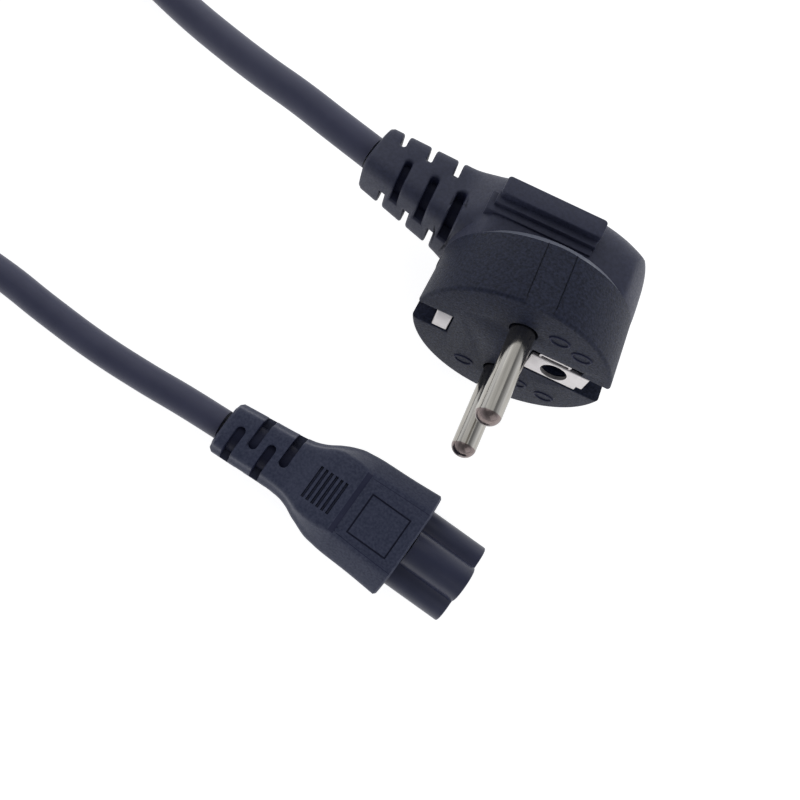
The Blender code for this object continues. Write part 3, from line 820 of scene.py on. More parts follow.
@dataclass
class Plug:
    """The angled plug, in its own frame: X to the cable, Y out of the face, Z up its height."""

    at: Place = (12.09, 9.92)
    yaw: float = 190.6
    face_radius: float = 19.5
    face_edge: float = 0.7
    face_ring: float = 13.5
    face_band: float = 0.01
    disc_depth: float = 13.0
    disc_taper: float = 0.045
    disc_steps: int = 120
    rear_chamfer: float = 1.9
    bar_top: float = 16.3
    bar_rear: float = 24.0
    bar_length: float = 19.6
    bar_width: float = 3.9
    bar_shift: float = 4.0
    bar_sink: float = 3.0
    bar_corner: float = 0.7
    bar_edge: float = 0.22
    # Steps in front of a grip bar: how far they reach, their height, how far they pass its end by the cable
    bar_steps: tuple[Point, ...] = ((1.25, 1.6, 0.4), (2.6, 0.55, 1.5))
    step_inset: float = 0.2
    step_sink: float = 2.5
    step_edge: float = 0.15
    back_half_height: float = 13.0
    back_inset: float = 0.05
    # Sections of the back: depth behind the face, narrower, lower, squareness
    back_stations: tuple[tuple[float, ...], ...] = (
        (11.5, 0.6, 0.0, 8.0), (13.2, 0.0, 0.0, 8.0), (20.0, 0.15, 0.0, 7.0), (23.5, 0.5, 0.4, 4.0),
        (25.5, 1.1, 1.0, 2.8), (27.0, 2.1, 2.0, 2.3), (28.0, 3.5, 3.4, 2.1), (28.4, 5.2, 4.8, 2.0),
    )
    side_flat_width: float = 5.5
    side_flat_depth: float = 0.35
    side_groove: float = 0.24
    side_groove_start: float = 0.6
    # How a groove's walls and the rear chamfer are told from the disc's side, by place and slope
    groove_beyond: float = 18.0
    groove_behind: float = 2.0
    groove_slope: float = 0.3
    chamfer_slope: float = 0.4
    neck_root: float = 10.0
    neck_start: float = 12.0
    neck_end: float = 21.5
    neck_steps: int = 10
    neck_sink: float = 1.2
    neck_rounding: float = 8.0
    rounding_limit: float = 0.9
    relief_end: float = 38.8
    # Rounding of the relief's end: how far before the end, how far inside the outline
    relief_end_steps: tuple[Place, ...] = ((0.9, 0.0), (0.3, 0.25), (0.0, 0.9))
    relief_setback: float = 22.95
    relief_setback_at: float = 22.0
    relief_slant: float = 0.174
    relief_half: float = 6.79
    relief_taper: float = 0.086
    relief_rounding: float = 3.0
    window_at: float = 20.2
    window_widths: tuple[float, ...] = (1.85, 1.7, 1.45)
    notch_at: float = 22.8
    notch_width: float = 1.15
    notch_inset: float = 2.0
    window_pitch: float = 5.75
    ring_rounding: float = 0.5
    # A slot's rim and its inside, as shares of the way from the relief's axis to its skin
    ring_share: float = 0.93
    slot_share: float = 0.88
    ring_margin: float = 1.6
    slot_margin: float = 1.2
    relief_core: float = 3.9
    pin_radius: float = 2.4
    pin_length: float = 19.0
    pin_spacing: float = 19.0
    pin_seat: float = 9.0
    tip_rounding: float = 2.1
    tip_shade: float = 1.9
    seat_gap: float = 0.3
    channel_width: float = 6.6
    channel_inner: float = 12.0
    channel_depth: float = 10.5
    clip_width: float = 6.0
    clip_thickness: float = 0.8
    clip_outer: float = 15.3
    clip_leg: float = 9.0
    clip_sink: float = 0.1
    clip_edge: float = 0.22
    earth_hole_at: float = 9.0
    earth_hole_radius: float = 2.6
    earth_hole_depth: float = 12.0
    plate_inner: float = 3.6
    plate_notch_at: float = 14.1
    plate_notch: float = 1.6
    pocket_depth: float = 1.3
    pocket_overlap: float = 1.5
    pocket_top: float = 4.9
    lip_levels: Place = (4.1, 4.5)
    lip_span: Place = (-11.2, -5.0)
    lip_leg: float = 0.4
    lip_leg_base: float = 2.0
    lip_leg_sink: float = 0.3
    clip_hole_depth: float = 5.0
    rim_rounding: float = 0.18
    blank_ovals: tuple[Place, ...] = ((-6.3, 12.0), (-11.3, 9.9), (-10.5, -11.0), (6.6, -11.1),
                                      (-4.6, -10.3))
    oval_radius: float = 1.6
    oval_line: float = 0.24
    oval_sink: float = 0.02
    oval_scale: Point = (1.15, 0.8, 1)

    @property
    def rim_radius(self) -> float:
        """Radius of the disc at its rear edge."""
        return self.face_radius - self.disc_depth * self.disc_taper

    @property
    def tilt(self) -> float:
        """How far the plug leans back on its lower grip bar, in radians."""
        return math.atan2(self.rim_radius - self.bar_top, self.bar_rear - self.disc_depth)

    @property
    def frame(self) -> Matrix:
        """The plug's frame in the row frame.

        Returns:
            The turn and place of the plug, whose rear rim and lower grip bar touch the floor.
        """
        height = self.disc_depth * math.sin(self.tilt) + self.rim_radius * math.cos(self.tilt)
        place = Matrix.Translation(Vector((*self.at, height)) * MM)
        return place @ Euler((self.tilt, 0, math.radians(self.yaw))).to_matrix().to_4x4()

    def disc(self) -> bpy.types.Object:
        """Turn the disc: a rounded face edge, a slight taper and a rear chamfer.

        Returns:
            The disc.
        """
        edge = arc((self.face_radius - self.face_edge, -self.face_edge), self.face_edge, 90, 0, 5)
        profile = [(self.face_ring, 0.0), *edge, (self.rim_radius, -self.disc_depth),
                   (self.rim_radius - self.rear_chamfer, -self.disc_depth - self.rear_chamfer)]
        rings = []
        for radius, out in profile:
            circle = arc((0, 0), radius, 0, 360, self.disc_steps)[:-1]
            rings.append([(across, out, up) for across, up in circle])
        return add_loft("plug_moulding", rings)

    def back(self) -> bpy.types.Object:
        """Loft the body behind the disc, its points half a step round from the disc's own.

        Returns:
            The back.
        """
        rings = []
        for depth, narrower, lower, squareness in smooth_between(self.back_stations, 3):
            radius = self.rim_radius - self.back_inset - narrower
            ring = []
            for step in range(self.disc_steps):
                angle = math.tau * (step + 0.5) / self.disc_steps
                across = abs(math.cos(angle)) / radius
                up = abs(math.sin(angle)) / (self.back_half_height - lower)
                reach = min(radius, (across ** squareness + up ** squareness) ** (-1 / squareness))
                ring.append((reach * math.cos(angle), -depth, reach * math.sin(angle)))
            rings.append(ring)
        return add_loft("plug_back", rings)

    def setback(self, along: float) -> float:
        """How far behind the face the relief's axis runs at a place along it."""
        return self.relief_setback + self.relief_slant * (along - self.relief_setback_at)

    def relief_halves(self, along: float) -> Place:
        """Find half the size of the neck and relief at a place along them.

        Args:
            along: Distance from the pins' plane towards the cable.

        Returns:
            Half the size out of the face and half the size up.
        """
        half = self.relief_half - self.relief_taper * (along - self.relief_setback_at)
        return half, half + self.neck_share(along) * (self.back_half_height - self.back_inset - half)

    def reach_in_relief(self, along: float, out: float, up: float) -> float:
        """Tell how far a point lies from the relief's axis towards its skin.

        Args:
            along: Place along the relief.
            out: Place out of the face.
            up: Place up.

        Returns:
            About 0 on the axis and 1 on the skin.
        """
        half_out, half_up = self.relief_halves(along)
        across = abs(out + self.setback(along)) / half_out
        return (across ** 4 + (abs(up) / half_up) ** 4) ** (1 / 4)

    def neck_share(self, along: float) -> float:
        """How far the neck has spread towards the back: 0 at the relief, 1 at the body."""
        share = min(1.0, max(0.0, (self.neck_end - along) / (self.neck_end - self.neck_start)))
        return share * share * (3 - 2 * share)

    def relief(self) -> bpy.types.Object:
        """Loft the neck and strain relief, cut its slots into rings and round the rings' edges.

        Returns:
            The neck and strain relief in one piece.
        """
        places = [(self.neck_root, self.neck_sink)]
        for step in range(self.neck_steps + 1):
            places.append((self.neck_start + (self.neck_end - self.neck_start) * step / self.neck_steps, 0.0))
        places += [(self.relief_end - before, inside) for before, inside in self.relief_end_steps]
        relief = add_loft("plug_relief", [self.relief_ring(along, inside) for along, inside in places])
        for row, width in enumerate(self.window_widths):
            window = self.window_at + row * self.window_pitch
            notch = self.notch_at + row * self.window_pitch
            for quarter in (Quarter.FRONT_ABOVE, Quarter.REAR_BELOW):
                combine(relief, self.slot_cutter(window, width, quarter, 0.0))
            for quarter in (Quarter.REAR_ABOVE, Quarter.FRONT_BELOW):
                combine(relief, self.slot_cutter(notch, self.notch_width, quarter, self.notch_inset))
        merge_close(relief, distance=0.03)
        bevel_chosen(relief, self.ring_rounding, 4, self.is_ring_edge)
        return relief

    def relief_ring(self, along: float, inside: float) -> list[Point]:
        """Draw one section of the neck and relief, square to their slanted axis.

        Args:
            along: Place along them.
            inside: How far the section lies inside the full one.

        Returns:
            The section's points.
        """
        half_out, half_up = self.relief_halves(along)
        rounding = self.relief_rounding + self.neck_share(along) * (self.neck_rounding - self.relief_rounding)
        half_out, half_up = half_out - inside, half_up - inside
        corners = [(half_out, half_up), (-half_out, half_up), (-half_out, -half_up), (half_out, -half_up)]
        outline = rounded(corners, min(rounding, self.rounding_limit * half_out), 6)
        return [(along + self.relief_slant * out, out - self.setback(along), up) for out, up in outline]

    def is_ring_edge(self, edge: bmesh.types.BMEdge) -> bool:
        """Tell whether an edge is a slot's sharp rim on the outside of the relief.

        Args:
            edge: An edge of the relief.

        Returns:
            Whether it is to be rounded.
        """
        if not is_sharp(edge, RIM_ANGLE):
            return False
        for vertex in edge.verts:
            along, out, up = (part / MM for part in vertex.co)
            at_end = along > self.relief_end - self.ring_margin
            if at_end or self.reach_in_relief(along, out, up) < self.ring_share:
                return False
        return True

    def slot_cutter(self, along: float, width: float, quarter: Quarter, inset: float) -> bpy.types.Object:
        """Make the cutter of one slot of the strain relief, with the core round the cord left standing.

        Args:
            along: Place of the slot's middle.
            width: Its width.
            quarter: The quarter of the relief that it opens.
            inset: How far its round end lies from the axis.

        Returns:
            The cutter.
        """
        out_side, up_side = quarter.value
        setback = self.setback(along)
        reach = self.relief_half + 2 * PAST
        outline = stadium((along, out_side * inset - setback), (along, out_side * reach - setback), width)
        rings = [[(across, out, level) for across, out in outline] for level in on_side(up_side, 0.0, reach)]
        cutter = add_loft("slot", rings)
        ends = [(place, -self.setback(place), 0) for place in (along - width, along + width)]
        combine(cutter, add_rod("core", self.relief_core, *ends))
        return cutter

    def grip(self, side: int) -> bpy.types.Object:
        """Model one grip bar: a plate on narrow steps, its corners rounded.

        Args:
            side: 1 for the upper bar, -1 for the lower one.

        Returns:
            The bar.
        """
        half = self.bar_length / 2
        front = self.bar_width - self.bar_rear
        low, high = on_side(side, self.back_half_height - self.bar_sink, self.bar_top)
        bar = add_box("grip_bar", (self.bar_shift - half, -self.bar_rear, low),
                      (self.bar_shift + half, front, high))
        bevel_chosen(bar, self.bar_corner, 4, is_upright)
        round_edges(bar, self.bar_edge, 3, 50)
        for number, (reach, height, further) in enumerate(self.bar_steps, start=1):
            inset = self.step_inset * number
            low, high = on_side(side, self.back_half_height - self.step_sink + inset,
                                self.back_half_height + height)
            step = add_box("grip_step", (self.bar_shift - half + inset, front - PAST - inset, low),
                           (self.bar_shift + half + further, front + reach, high))
            round_edges(step, self.step_edge, 2)
            combine(bar, step, "UNION")
        return bar

    def moulding(self, finishes: Finishes) -> bpy.types.Object:
        """Cut the disc's details, round their rims, then join the back, relief and grips to it.

        Args:
            finishes: The finishes of the cord set.

        Returns:
            The plug's moulded body.
        """
        body = self.disc()
        for side in (1, -1):
            combine(body, self.side_flat(side))
            for edge in (1, -1):
                combine(body, self.flat_groove(side, edge))
            height = side * self.pin_spacing / 2
            combine(body, add_rod("pin_seat", self.pin_radius + self.seat_gap,
                                  (0, -self.pin_seat - self.seat_gap, height), (0, PAST, height)))
        for side in PlugSide:
            combine(body, self.channel(side))
        combine(body, add_box("pocket", (-self.channel_inner - self.pocket_overlap, -self.pocket_depth,
                                         -self.channel_width / 2),
                              (-self.plate_inner + self.seat_gap, PAST, self.pocket_top)))
        merge_close(body)
        bevel_chosen(body, self.rim_rounding, 2, self.is_face_rim)
        combine(body, self.back(), "UNION")
        combine(body, self.relief(), "UNION")
        for side in (1, -1):
            combine(body, self.grip(side), "UNION")
        combine(body, self.earth_hole("earth_hole", self.earth_hole_depth))
        shade_by_angle(body, 38)
        settle(body, self.frame)
        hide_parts("plug_body")
        dress(body, Slot.MOULDED_VINYL, finishes.moulding, finishes.disc, finishes.rim, finishes.recess)
        self.paint(body)
        return body

    def earth_hole(self, name: str, depth: float) -> bpy.types.Object:
        """Make the cutter of the hole that the socket's earth pin enters.

        Args:
            name: The cutter's name.
            depth: How deep it goes.

        Returns:
            The cutter.
        """
        return add_rod(name, self.earth_hole_radius, (-self.earth_hole_at, -depth, 0),
                       (-self.earth_hole_at, PAST, 0))

    def is_face_rim(self, edge: bmesh.types.BMEdge) -> bool:
        """Tell whether an edge is the sharp rim of an opening in the face."""
        return is_sharp(edge, RIM_ANGLE) and all(v.co.y > -self.face_band * MM for v in edge.verts)

    def side_flat(self, side: int) -> bpy.types.Object:
        """Make the cutter of the flat on the disc's side.

        Args:
            side: 1 for the flat on top, -1 for the one below.

        Returns:
            The cutter.
        """
        half = self.side_flat_width / 2
        low, high = on_side(side, self.face_radius - self.side_flat_depth, self.face_radius + PAST)
        flat = add_box("side_flat", (-half, -self.disc_depth - PAST, low), (half, PAST, high))
        return self.lean(side, flat)

    def lean(self, side: int, cutter: bpy.types.Object) -> bpy.types.Object:
        """Lean a cutter inwards with the disc's taper.

        Args:
            side: The side of the disc that it cuts.
            cutter: The cutter.

        Returns:
            The same cutter.
        """
        cutter.rotation_euler = (side * math.atan(self.disc_taper), 0, 0)
        return cutter

    def flat_groove(self, side: int, edge: int) -> bpy.types.Object:
        """Make the cutter of the fine groove along one edge of the flat.

        Args:
            side: 1 for the flat on top, -1 for the one below.
            edge: 1 for its edge by the cable, -1 for the far one.

        Returns:
            The cutter.
        """
        middle = edge * self.side_flat_width / 2
        half = self.side_groove / 2
        low, high = on_side(side, self.face_radius - self.side_flat_depth - self.side_groove,
                            self.face_radius + PAST)
        groove = add_box("flat_groove", (middle - half, -self.disc_depth - PAST, low),
                         (middle + half, -self.side_groove_start, high))
        return self.lean(side, groove)

    def channel(self, side: PlugSide) -> bpy.types.Object:
        """Make the cutter of the channel that one earth clip sits in.

        Args:
            side: The clip's side.

        Returns:
            The cutter.
        """
        start, end = on_side(side.value, self.channel_inner, self.face_radius + PAST)
        half = self.channel_width / 2
        return add_box("channel", (start, -self.channel_depth, -half), (end, PAST, half))

    def paint(self, body: bpy.types.Object) -> None:
        """Give the disc its coarser grain, its rear chamfer a gloss with a painted highlight, and the
        relief's slots and the flat's grooves painted shade.

        Args:
            body: The plug's moulded body, in its place.
        """
        back_to_plug = self.frame.inverted()
        turn_back = back_to_plug.to_3x3()
        for face in body.data.polygons:
            place = [part / MM for part in back_to_plug @ face.center]
            face.material_index = self.look_of(place, turn_back @ face.normal).value

    def look_of(self, place: Sequence[float], normal: Vector) -> BodyLook:
        """Pick the finish of a face of the body.

        Args:
            place: The face's middle, in the plug's frame.
            normal: Its normal, in the same frame.

        Returns:
            The finish.
        """
        x, y, z = place
        # The side flat's grooves and the relief's slots take painted shade, and the rear chamfer a painted
        # highlight
        if y > -self.disc_depth - TOUCH:
            by_flat = abs(x) < self.side_flat_width and abs(z) > self.groove_beyond
            in_groove = by_flat and y < -self.groove_behind and abs(normal.z) < self.groove_slope
            return BodyLook.RECESS if in_groove else BodyLook.DISC
        on_chamfer = y > -self.disc_depth - self.rear_chamfer and normal.y < -self.chamfer_slope
        if on_chamfer and math.hypot(x, z) > self.rim_radius - self.rear_chamfer:
            return BodyLook.RIM
        return BodyLook.RECESS if self.in_slot(x, y, z) else BodyLook.MOULDING

    def in_slot(self, x: float, y: float, z: float) -> bool:
        """Tell whether a point lies in the strain relief's slots, below its outside.

        Args:
            x: Its place to the cable.
            y: Its place out of the face.
            z: Its place up.

        Returns:
            Whether it does.
        """
        along = x - self.relief_slant * (y + self.setback(x))
        if not self.window_at - self.slot_margin < along < self.relief_end - self.slot_margin:
            return False
        return self.reach_in_relief(along, y, z) < self.slot_share

    def ovals(self, finishes: Finishes) -> None:
        """Raise the blank ovals on the face.

        Args:
            finishes: The finishes of the cord set.
        """
        for number, (across, up) in enumerate(self.blank_ovals):
            deselect()
            middle = Vector((across, -self.oval_sink, up)) * MM
            bpy.ops.mesh.primitive_torus_add(major_radius=self.oval_radius * MM, major_segments=40,
                                             minor_radius=self.oval_line * MM, minor_segments=8,
                                             location=middle, rotation=(math.pi / 2, 0, 0))
            oval = added("face_oval_%d" % number)
            oval.scale = self.oval_scale
            bpy.ops.object.transform_apply(location=True, rotation=True, scale=True)
            shade_by_angle(oval, 60)
            settle(oval, self.frame)
            # The raised ovals take the dark finish of painted shade
            dress(oval, Slot.MOULDED_VINYL, finishes.recess)

    def pin(self, node: str, height: float, finishes: Finishes) -> None:
        """Model one round pin: a rod whose free end is rounded to a dome.

        Args:
            node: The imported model's node.
            height: The pin's place up.
            finishes: The finishes of the cord set.
        """
        end = self.pin_length * MM
        pin = add_rod("nickel_" + node, self.pin_radius, (0, -self.pin_seat, height),
                      (0, self.pin_length, height), 64)
        bevel_chosen(pin, self.tip_rounding, 12,
                     lambda edge: all(vertex.co.y > end - TOUCH * MM for vertex in edge.verts))
        shade_by_angle(pin, 50)
        dress(pin, Slot.NICKEL_PIN, finishes.nickel, finishes.tip)
        for face in pin.data.polygons:
            face.material_index = int(face.center.y > end - self.tip_shade * MM)
        settle(pin, self.frame)
        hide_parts(node)

    def clip(self, node: str, side: PlugSide, inner: float, finishes: Finishes) -> None:
        """Fold one earth contact from strip: a front flush with the face and a leg in the channel.

        Args:
            node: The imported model's node.
            side: The clip's side.
            inner: Where its front ends towards the middle of the face.
            finishes: The finishes of the cord set.
        """
        half = self.clip_width / 2
        front, back = -self.clip_sink, -self.clip_sink - self.clip_thickness
        outer = self.clip_outer
        corners = [(inner, front), (outer, front), (outer, -self.clip_leg),
                   (outer - self.clip_thickness, -self.clip_leg), (outer - self.clip_thickness, back),
                   (inner, back)]
        sign = side.value
        clip = add_loft("folded_" + node, [[(sign * across, out, up) for across, out in corners]
                                           for up in (-half, half)])
        round_edges(clip, self.clip_edge, 3)
        if side is PlugSide.FAR:
            self.finish_plate(clip)
        shade_by_angle(clip, 40)
        settle(clip, self.frame)
        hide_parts(node)
        dress(clip, Slot.CONTACT_METAL, finishes.contact)

    def finish_plate(self, clip: bpy.types.Object) -> None:
        """Pierce the far clip's plate, give it a lip on two legs and notch its outer corner.

        Args:
            clip: The far clip as it was folded.
        """
        combine(clip, self.earth_hole("clip_hole", self.clip_hole_depth))
        front, back = -self.clip_sink, -self.clip_sink - self.clip_thickness
        low, high = self.lip_levels
        start, end = self.lip_span
        strips = [(start, end, low, self.clip_sink),
                  (start, start + self.lip_leg, self.lip_leg_base, self.lip_leg_sink),
                  (end - self.lip_leg, end, self.lip_leg_base, self.lip_leg_sink)]
        for left, right, base, sink in strips:
            strip = add_box("clip_lip", (left, back + sink / 3, base), (right, front - sink, high))
            combine(clip, strip, "UNION")
        edge = -self.clip_width / 2
        combine(clip, add_box("clip_corner", (-self.clip_outer - PAST, -3 * PAST, edge - PAST),
                              (-self.plate_notch_at, PAST, edge + self.plate_notch)))

    def build(self, finishes: Finishes) -> None:
        """Build and dress the whole plug.

        Args:
            finishes: The finishes of the cord set.
        """
        self.moulding(finishes)
        self.ovals(finishes)
        self.pin("plug_pin_upper", self.pin_spacing / 2, finishes)
        self.pin("plug_pin_lower", -self.pin_spacing / 2, finishes)
        self.clip("earth_clip_cable_side", PlugSide.CABLE, self.channel_inner + self.seat_gap, finishes)
        self.clip("earth_clip_far_side", PlugSide.FAR, self.plate_inner, finishes)


# The connector


@dataclass
class Connector:
    """The cloverleaf connector, in its own frame: X along its nose from the shoulder, Z up."""

    at: Place = (18.2, -29.2)
    half_width: float = 11.3
    height: float = 15.0
    length: float = 42.0
    sway: float = 1.65
    sway_start: float = 20.0
    # Sections of the body: place behind the shoulder, narrower, raised, lower, half the top, side height
    stations: tuple[tuple[float, ...], ...] = (
        (0.0, 0.4, 0.4, 0.4, 6.4, 9.6), (0.4, 0.0, 0.0, 0.0, 6.6, 9.8), (6.5, 0.45, 0.0, 0.0, 6.4, 9.8),
        (12.6, 0.7, 0.0, 0.0, 6.1, 9.6), (13.3, 0.75, 0.0, -0.02, 6.1, 9.6),
        (14.4, 0.85, 0.0, -0.58, 6.1, 9.6), (15.1, 0.95, 0.0, -0.6, 6.2, 9.6),
        (17.6, 1.35, 0.0, -0.35, 6.5, 9.5), (21.3, 2.85, 0.5, 0.6, 6.3, 9.3),
        (23.6, 4.1, 1.1, 1.6, 5.3, 9.0), (26.0, 4.9, 1.6, 2.5, 4.5, 8.8), (30.0, 5.3, 1.7, 3.1, 4.0, 8.5),
        (36.0, 5.5, 1.4, 3.7, 3.9, 8.0), (41.4, 5.7, 1.1, 4.2, 3.7, 7.4), (42.0, 6.2, 1.7, 4.8, 3.2, 7.3),
    )
    corner_rounding: float = 0.9
    foot_chamfer: float = 1.2
    shoulder_inset: float = 0.9
    shoulder_rise: float = 1.3
    top_edge: float = 0.6
    top_edge_fall: float = 0.35
    pad_length: float = 12.7
    pad_half_width: float = 5.8
    pad_rise: float = 0.12
    pad_shift: float = 0.9
    pad_sink: float = 1.0
    pad_middle: float = -0.2
    # How far the pad's rear corners lie further to the right than its front ones: the left one, the right one
    pad_skew: Place = (0.5, 0.3)
    pad_corner: float = 0.8
    # Sections of the pad: how far below its top, how far inside its outline
    pad_steps: tuple[Place, ...] = ((0.45, 0.0), (0.12, 0.15), (0.0, 0.5))
    groove_width: float = 0.32
    groove_depth: float = 0.3
    groove_floor_band: float = 0.03
    groove_from: Place = (-11.4, -4.9)
    groove_to: Place = (-2.6, 3.8)
    grip_first: float = 16.3
    grip_pitch: float = 1.12
    grip_half_width: float = 3.4
    grip_middle: float = -0.9
    grip_grooves: int = 6
    grip_depth: float = 0.6
    grip_mouth: float = 0.36
    grip_floor: float = 0.15
    grip_over: float = 0.3
    step_at: Place = (13.25, 14.45)
    step_half_width: float = 6.6
    # How far before the first groove and below the top the grip's painted shade may start
    grip_zone: float = 1.0
    # Smallest part of a face's normal along the wanted way, on the step, in the grip, the label and the slots
    step_slope: float = 0.5
    grip_slope: float = 0.6
    label_slope: float = 0.9
    slot_slope: float = 0.8
    slot_width: float = 1.8
    slot_first: float = 28.4
    slot_pitch: float = 3.38
    slots: int = 4
    slot_overrun: float = 1.4
    slot_axis_height: float = 6.9
    slot_axis_fall: float = 0.06
    slot_core: float = 3.7
    slot_reach: float = 9.0
    slot_rim: float = 0.22
    # How a slot's rim is told from its inside: distance from the core, from the sides and foot, from the top
    rim_off_core: float = 0.25
    rim_by_side: float = 0.35
    rim_by_top: float = 0.5
    rim_by_corner: float = 1.5
    # How far the slots reach before the first one's middle, and how far behind them the plain end starts
    slot_lead: float = 2.0
    slot_end: float = 0.8
    seat_gap: float = 0.3
    nose_length: float = 12.45
    nose_height: float = 5.8
    lobe_radius: float = 3.4
    lobe_spacing: float = 10.0
    earth_lobe_radius: float = 3.8
    earth_lobe_rise: float = 3.9
    # Rounding of the nose's end: how far before the end, how far inside the outline
    nose_end_steps: tuple[Place, ...] = ((0.3, 0.0), (0.1, 0.07), (0.0, 0.26))
    # Valley between two lobes: places past the middle lobe's side and above the outer lobe's top
    valley: tuple[Place, ...] = ((0.55, 0.0), (0.16, 0.16), (0.0, 0.55))
    hole_radius: float = 1.6
    hole_depth: float = 10.2

    @property
    def frame(self) -> Matrix:
        """The connector's frame in the row frame."""
        return Matrix.Translation(Vector((*self.at, 0)) * MM)

    def sway_at(self, along: float) -> float:
        """How far the axis has moved to the side at a place behind the shoulder."""
        return -self.sway * max(0.0, (along - self.sway_start) / (self.length - self.sway_start))

    def slot_height(self, along: float) -> float:
        """How high the strain relief's axis runs at a place behind the shoulder."""
        return self.slot_axis_height - self.slot_axis_fall * (along - self.slot_first)

    def from_axis(self, along: float, across: float, up: float) -> float:
        """How far a point lies from the strain relief's axis."""
        return math.hypot(across - self.sway_at(along), up - self.slot_height(along))

    def section(self, row: Sequence[float]) -> list[Point]:
        """Draw one section across the body.

        Args:
            row: Place, narrower, raised, lower, half the top's width, side height.

        Returns:
            The section's points.
        """
        along, narrower, raised, lower, flat, side = row
        raised = max(0.0, raised)
        half, top = self.half_width - narrower, self.height - lower
        sway = self.sway_at(along)
        corners = [(half - self.foot_chamfer, raised), (half, raised + self.foot_chamfer), (half, side),
                   (half - self.shoulder_inset, side + self.shoulder_rise),
                   (flat + self.top_edge, top - self.top_edge_fall), (flat - self.top_edge, top)]
        corners += [(-across, up) for across, up in reversed(corners)]
        return [(-along, across + sway, up) for across, up in rounded(corners, self.corner_rounding, 3)]

    def body(self, finishes: Finishes) -> None:
        """Model the overmoulded body: loft, strain relief slots, label pad and grip ribs.

        Args:
            finishes: The finishes of the cord set.
        """
        rows = [self.stations[0], *smooth_between(self.stations[1:-1], 6), self.stations[-1]]
        body = add_loft("connector_moulding", [self.section(row) for row in rows])
        for row in range(self.slots):
            for up_side in (1, -1):
                combine(body, self.slot_cutter(row, up_side))
        merge_close(body)
        bevel_chosen(body, self.slot_rim, 2, self.is_slot_rim)
        combine(body, self.label_pad(), "UNION")
        combine(body, self.label_groove())
        for row in range(self.grip_grooves):
            combine(body, self.grip_groove(row))
        shade_by_angle(body, 40)
        dress(body, Slot.MOULDED_VINYL, finishes.connector, finishes.recess)
        # Slots, grooves and the step take the dark finish: painted shade
        for face in body.data.polygons:
            face.material_index = int(self.is_recessed(face))
        settle(body, self.frame)
        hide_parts("connector_body")

    def is_recessed(self, face: bpy.types.MeshPolygon) -> bool:
        """Tell whether a face lies in a slot, in a groove of the grip or label, or on the step behind it.

        Args:
            face: A face of the body, in the connector's frame.

        Returns:
            Whether it takes the dark finish of painted shade.
        """
        along, across, up = -face.center.x / MM, face.center.y / MM, face.center.z / MM
        if along < self.slot_first - self.slot_lead:
            on_step = self.step_at[0] < along < self.step_at[1] and abs(across) < self.step_half_width
            last = self.grip_first + self.grip_grooves * self.grip_pitch
            by_grip = self.grip_first - self.grip_zone < along < last
            by_grip = by_grip and up > self.top_at(along) - self.grip_zone
            groove_floor = self.height + self.pad_rise - self.groove_depth
            in_label = along < self.pad_length and abs(up - groove_floor) < self.groove_floor_band
            return ((on_step and face.normal.z > self.step_slope)
                    or (by_grip and abs(face.normal.x) > self.grip_slope)
                    or (in_label and face.normal.z > self.label_slope))
        if along > self.length - self.slot_end:
            return False
        on_core = self.from_axis(along, across, up) < self.slot_core + 2 * TOUCH
        return on_core or abs(face.normal.x) > self.slot_slope

    def slot_cutter(self, row: int, up_side: int) -> bpy.types.Object:
        """Make the cutter of one strain relief slot, open to alternate sides.

        Args:
            row: The slot's number, from the shoulder.
            up_side: 1 for its upper part, -1 for its lower one.

        Returns:
            The cutter.
        """
        along = self.slot_first + row * self.slot_pitch
        sway, height = self.sway_at(along), self.slot_height(along)
        reach = up_side if row % 2 == 0 else -up_side
        start, end = sway - reach * self.slot_overrun, sway + reach * self.slot_reach
        outline = stadium((-along, start), (-along, end), self.slot_width)
        levels = sorted((height, height + up_side * self.slot_reach))
        cutter = add_loft("slot", [[(x, y, level) for x, y in outline] for level in levels])
        ends = [(place, sway, height) for place in (-along - 2 * PAST, -along + 2 * PAST)]
        combine(cutter, add_rod("core", self.slot_core, *ends))
        return cutter

    def label_pad(self) -> bpy.types.Object:
        """Model the blank label pad.

        Returns:
            The pad.
        """
        start, end = -self.pad_shift, -self.pad_shift - self.pad_length
        top = self.height + self.pad_rise
        half = self.pad_half_width
        left, right = self.pad_skew
        outline = [(start, half), (end, half - left), (end, -half - right), (start, -half)]
        middle = (start + end) / 2
        levels = [(self.height - self.pad_sink, 0.0)]
        levels += [(top - below, inside) for below, inside in self.pad_steps]
        rings = []
        for level, inside in levels:
            shorter, slimmer = 1 - inside / self.pad_length * 2, 1 - inside / half
            ring = []
            for x, y in rounded(outline, self.pad_corner, 4):
                ring.append((middle + (x - middle) * shorter,
                             self.pad_middle + (y - self.pad_middle) * slimmer, level))
            rings.append(ring)
        return add_loft("label_pad", rings)

    def label_groove(self) -> bpy.types.Object:
        """Make the cutter of the fine square groove on the label pad.

        Returns:
            The cutter.
        """
        low, high = self.groove_from, self.groove_to
        width, floor = self.groove_width, self.height + self.pad_rise - self.groove_depth
        outer = add_box("label_groove", (*low, floor), (*high, self.height + PAST))
        inner = add_box("groove_inside", (low[0] + width, low[1] + width, floor - PAST),
                        (high[0] - width, high[1] - width, self.height + 2 * PAST))
        combine(outer, inner)
        return outer

    def station_at(self, along: float) -> Optional[list[float]]:
        """Read the sizes of the section at a place behind the shoulder.

        Args:
            along: The place.

        Returns:
            A row like those of the stations, or None where the body ends.
        """
        for before, after in zip(self.stations, self.stations[1:]):
            if before[0] <= along <= after[0]:
                share = (along - before[0]) / (after[0] - before[0])
                return [a + (b - a) * share for a, b in zip(before, after)]
        return None

    def top_at(self, along: float) -> float:
        """Find the height of the body's top at a place behind the shoulder."""
        row = self.station_at(along)
        return self.height - row[3] if row else self.height

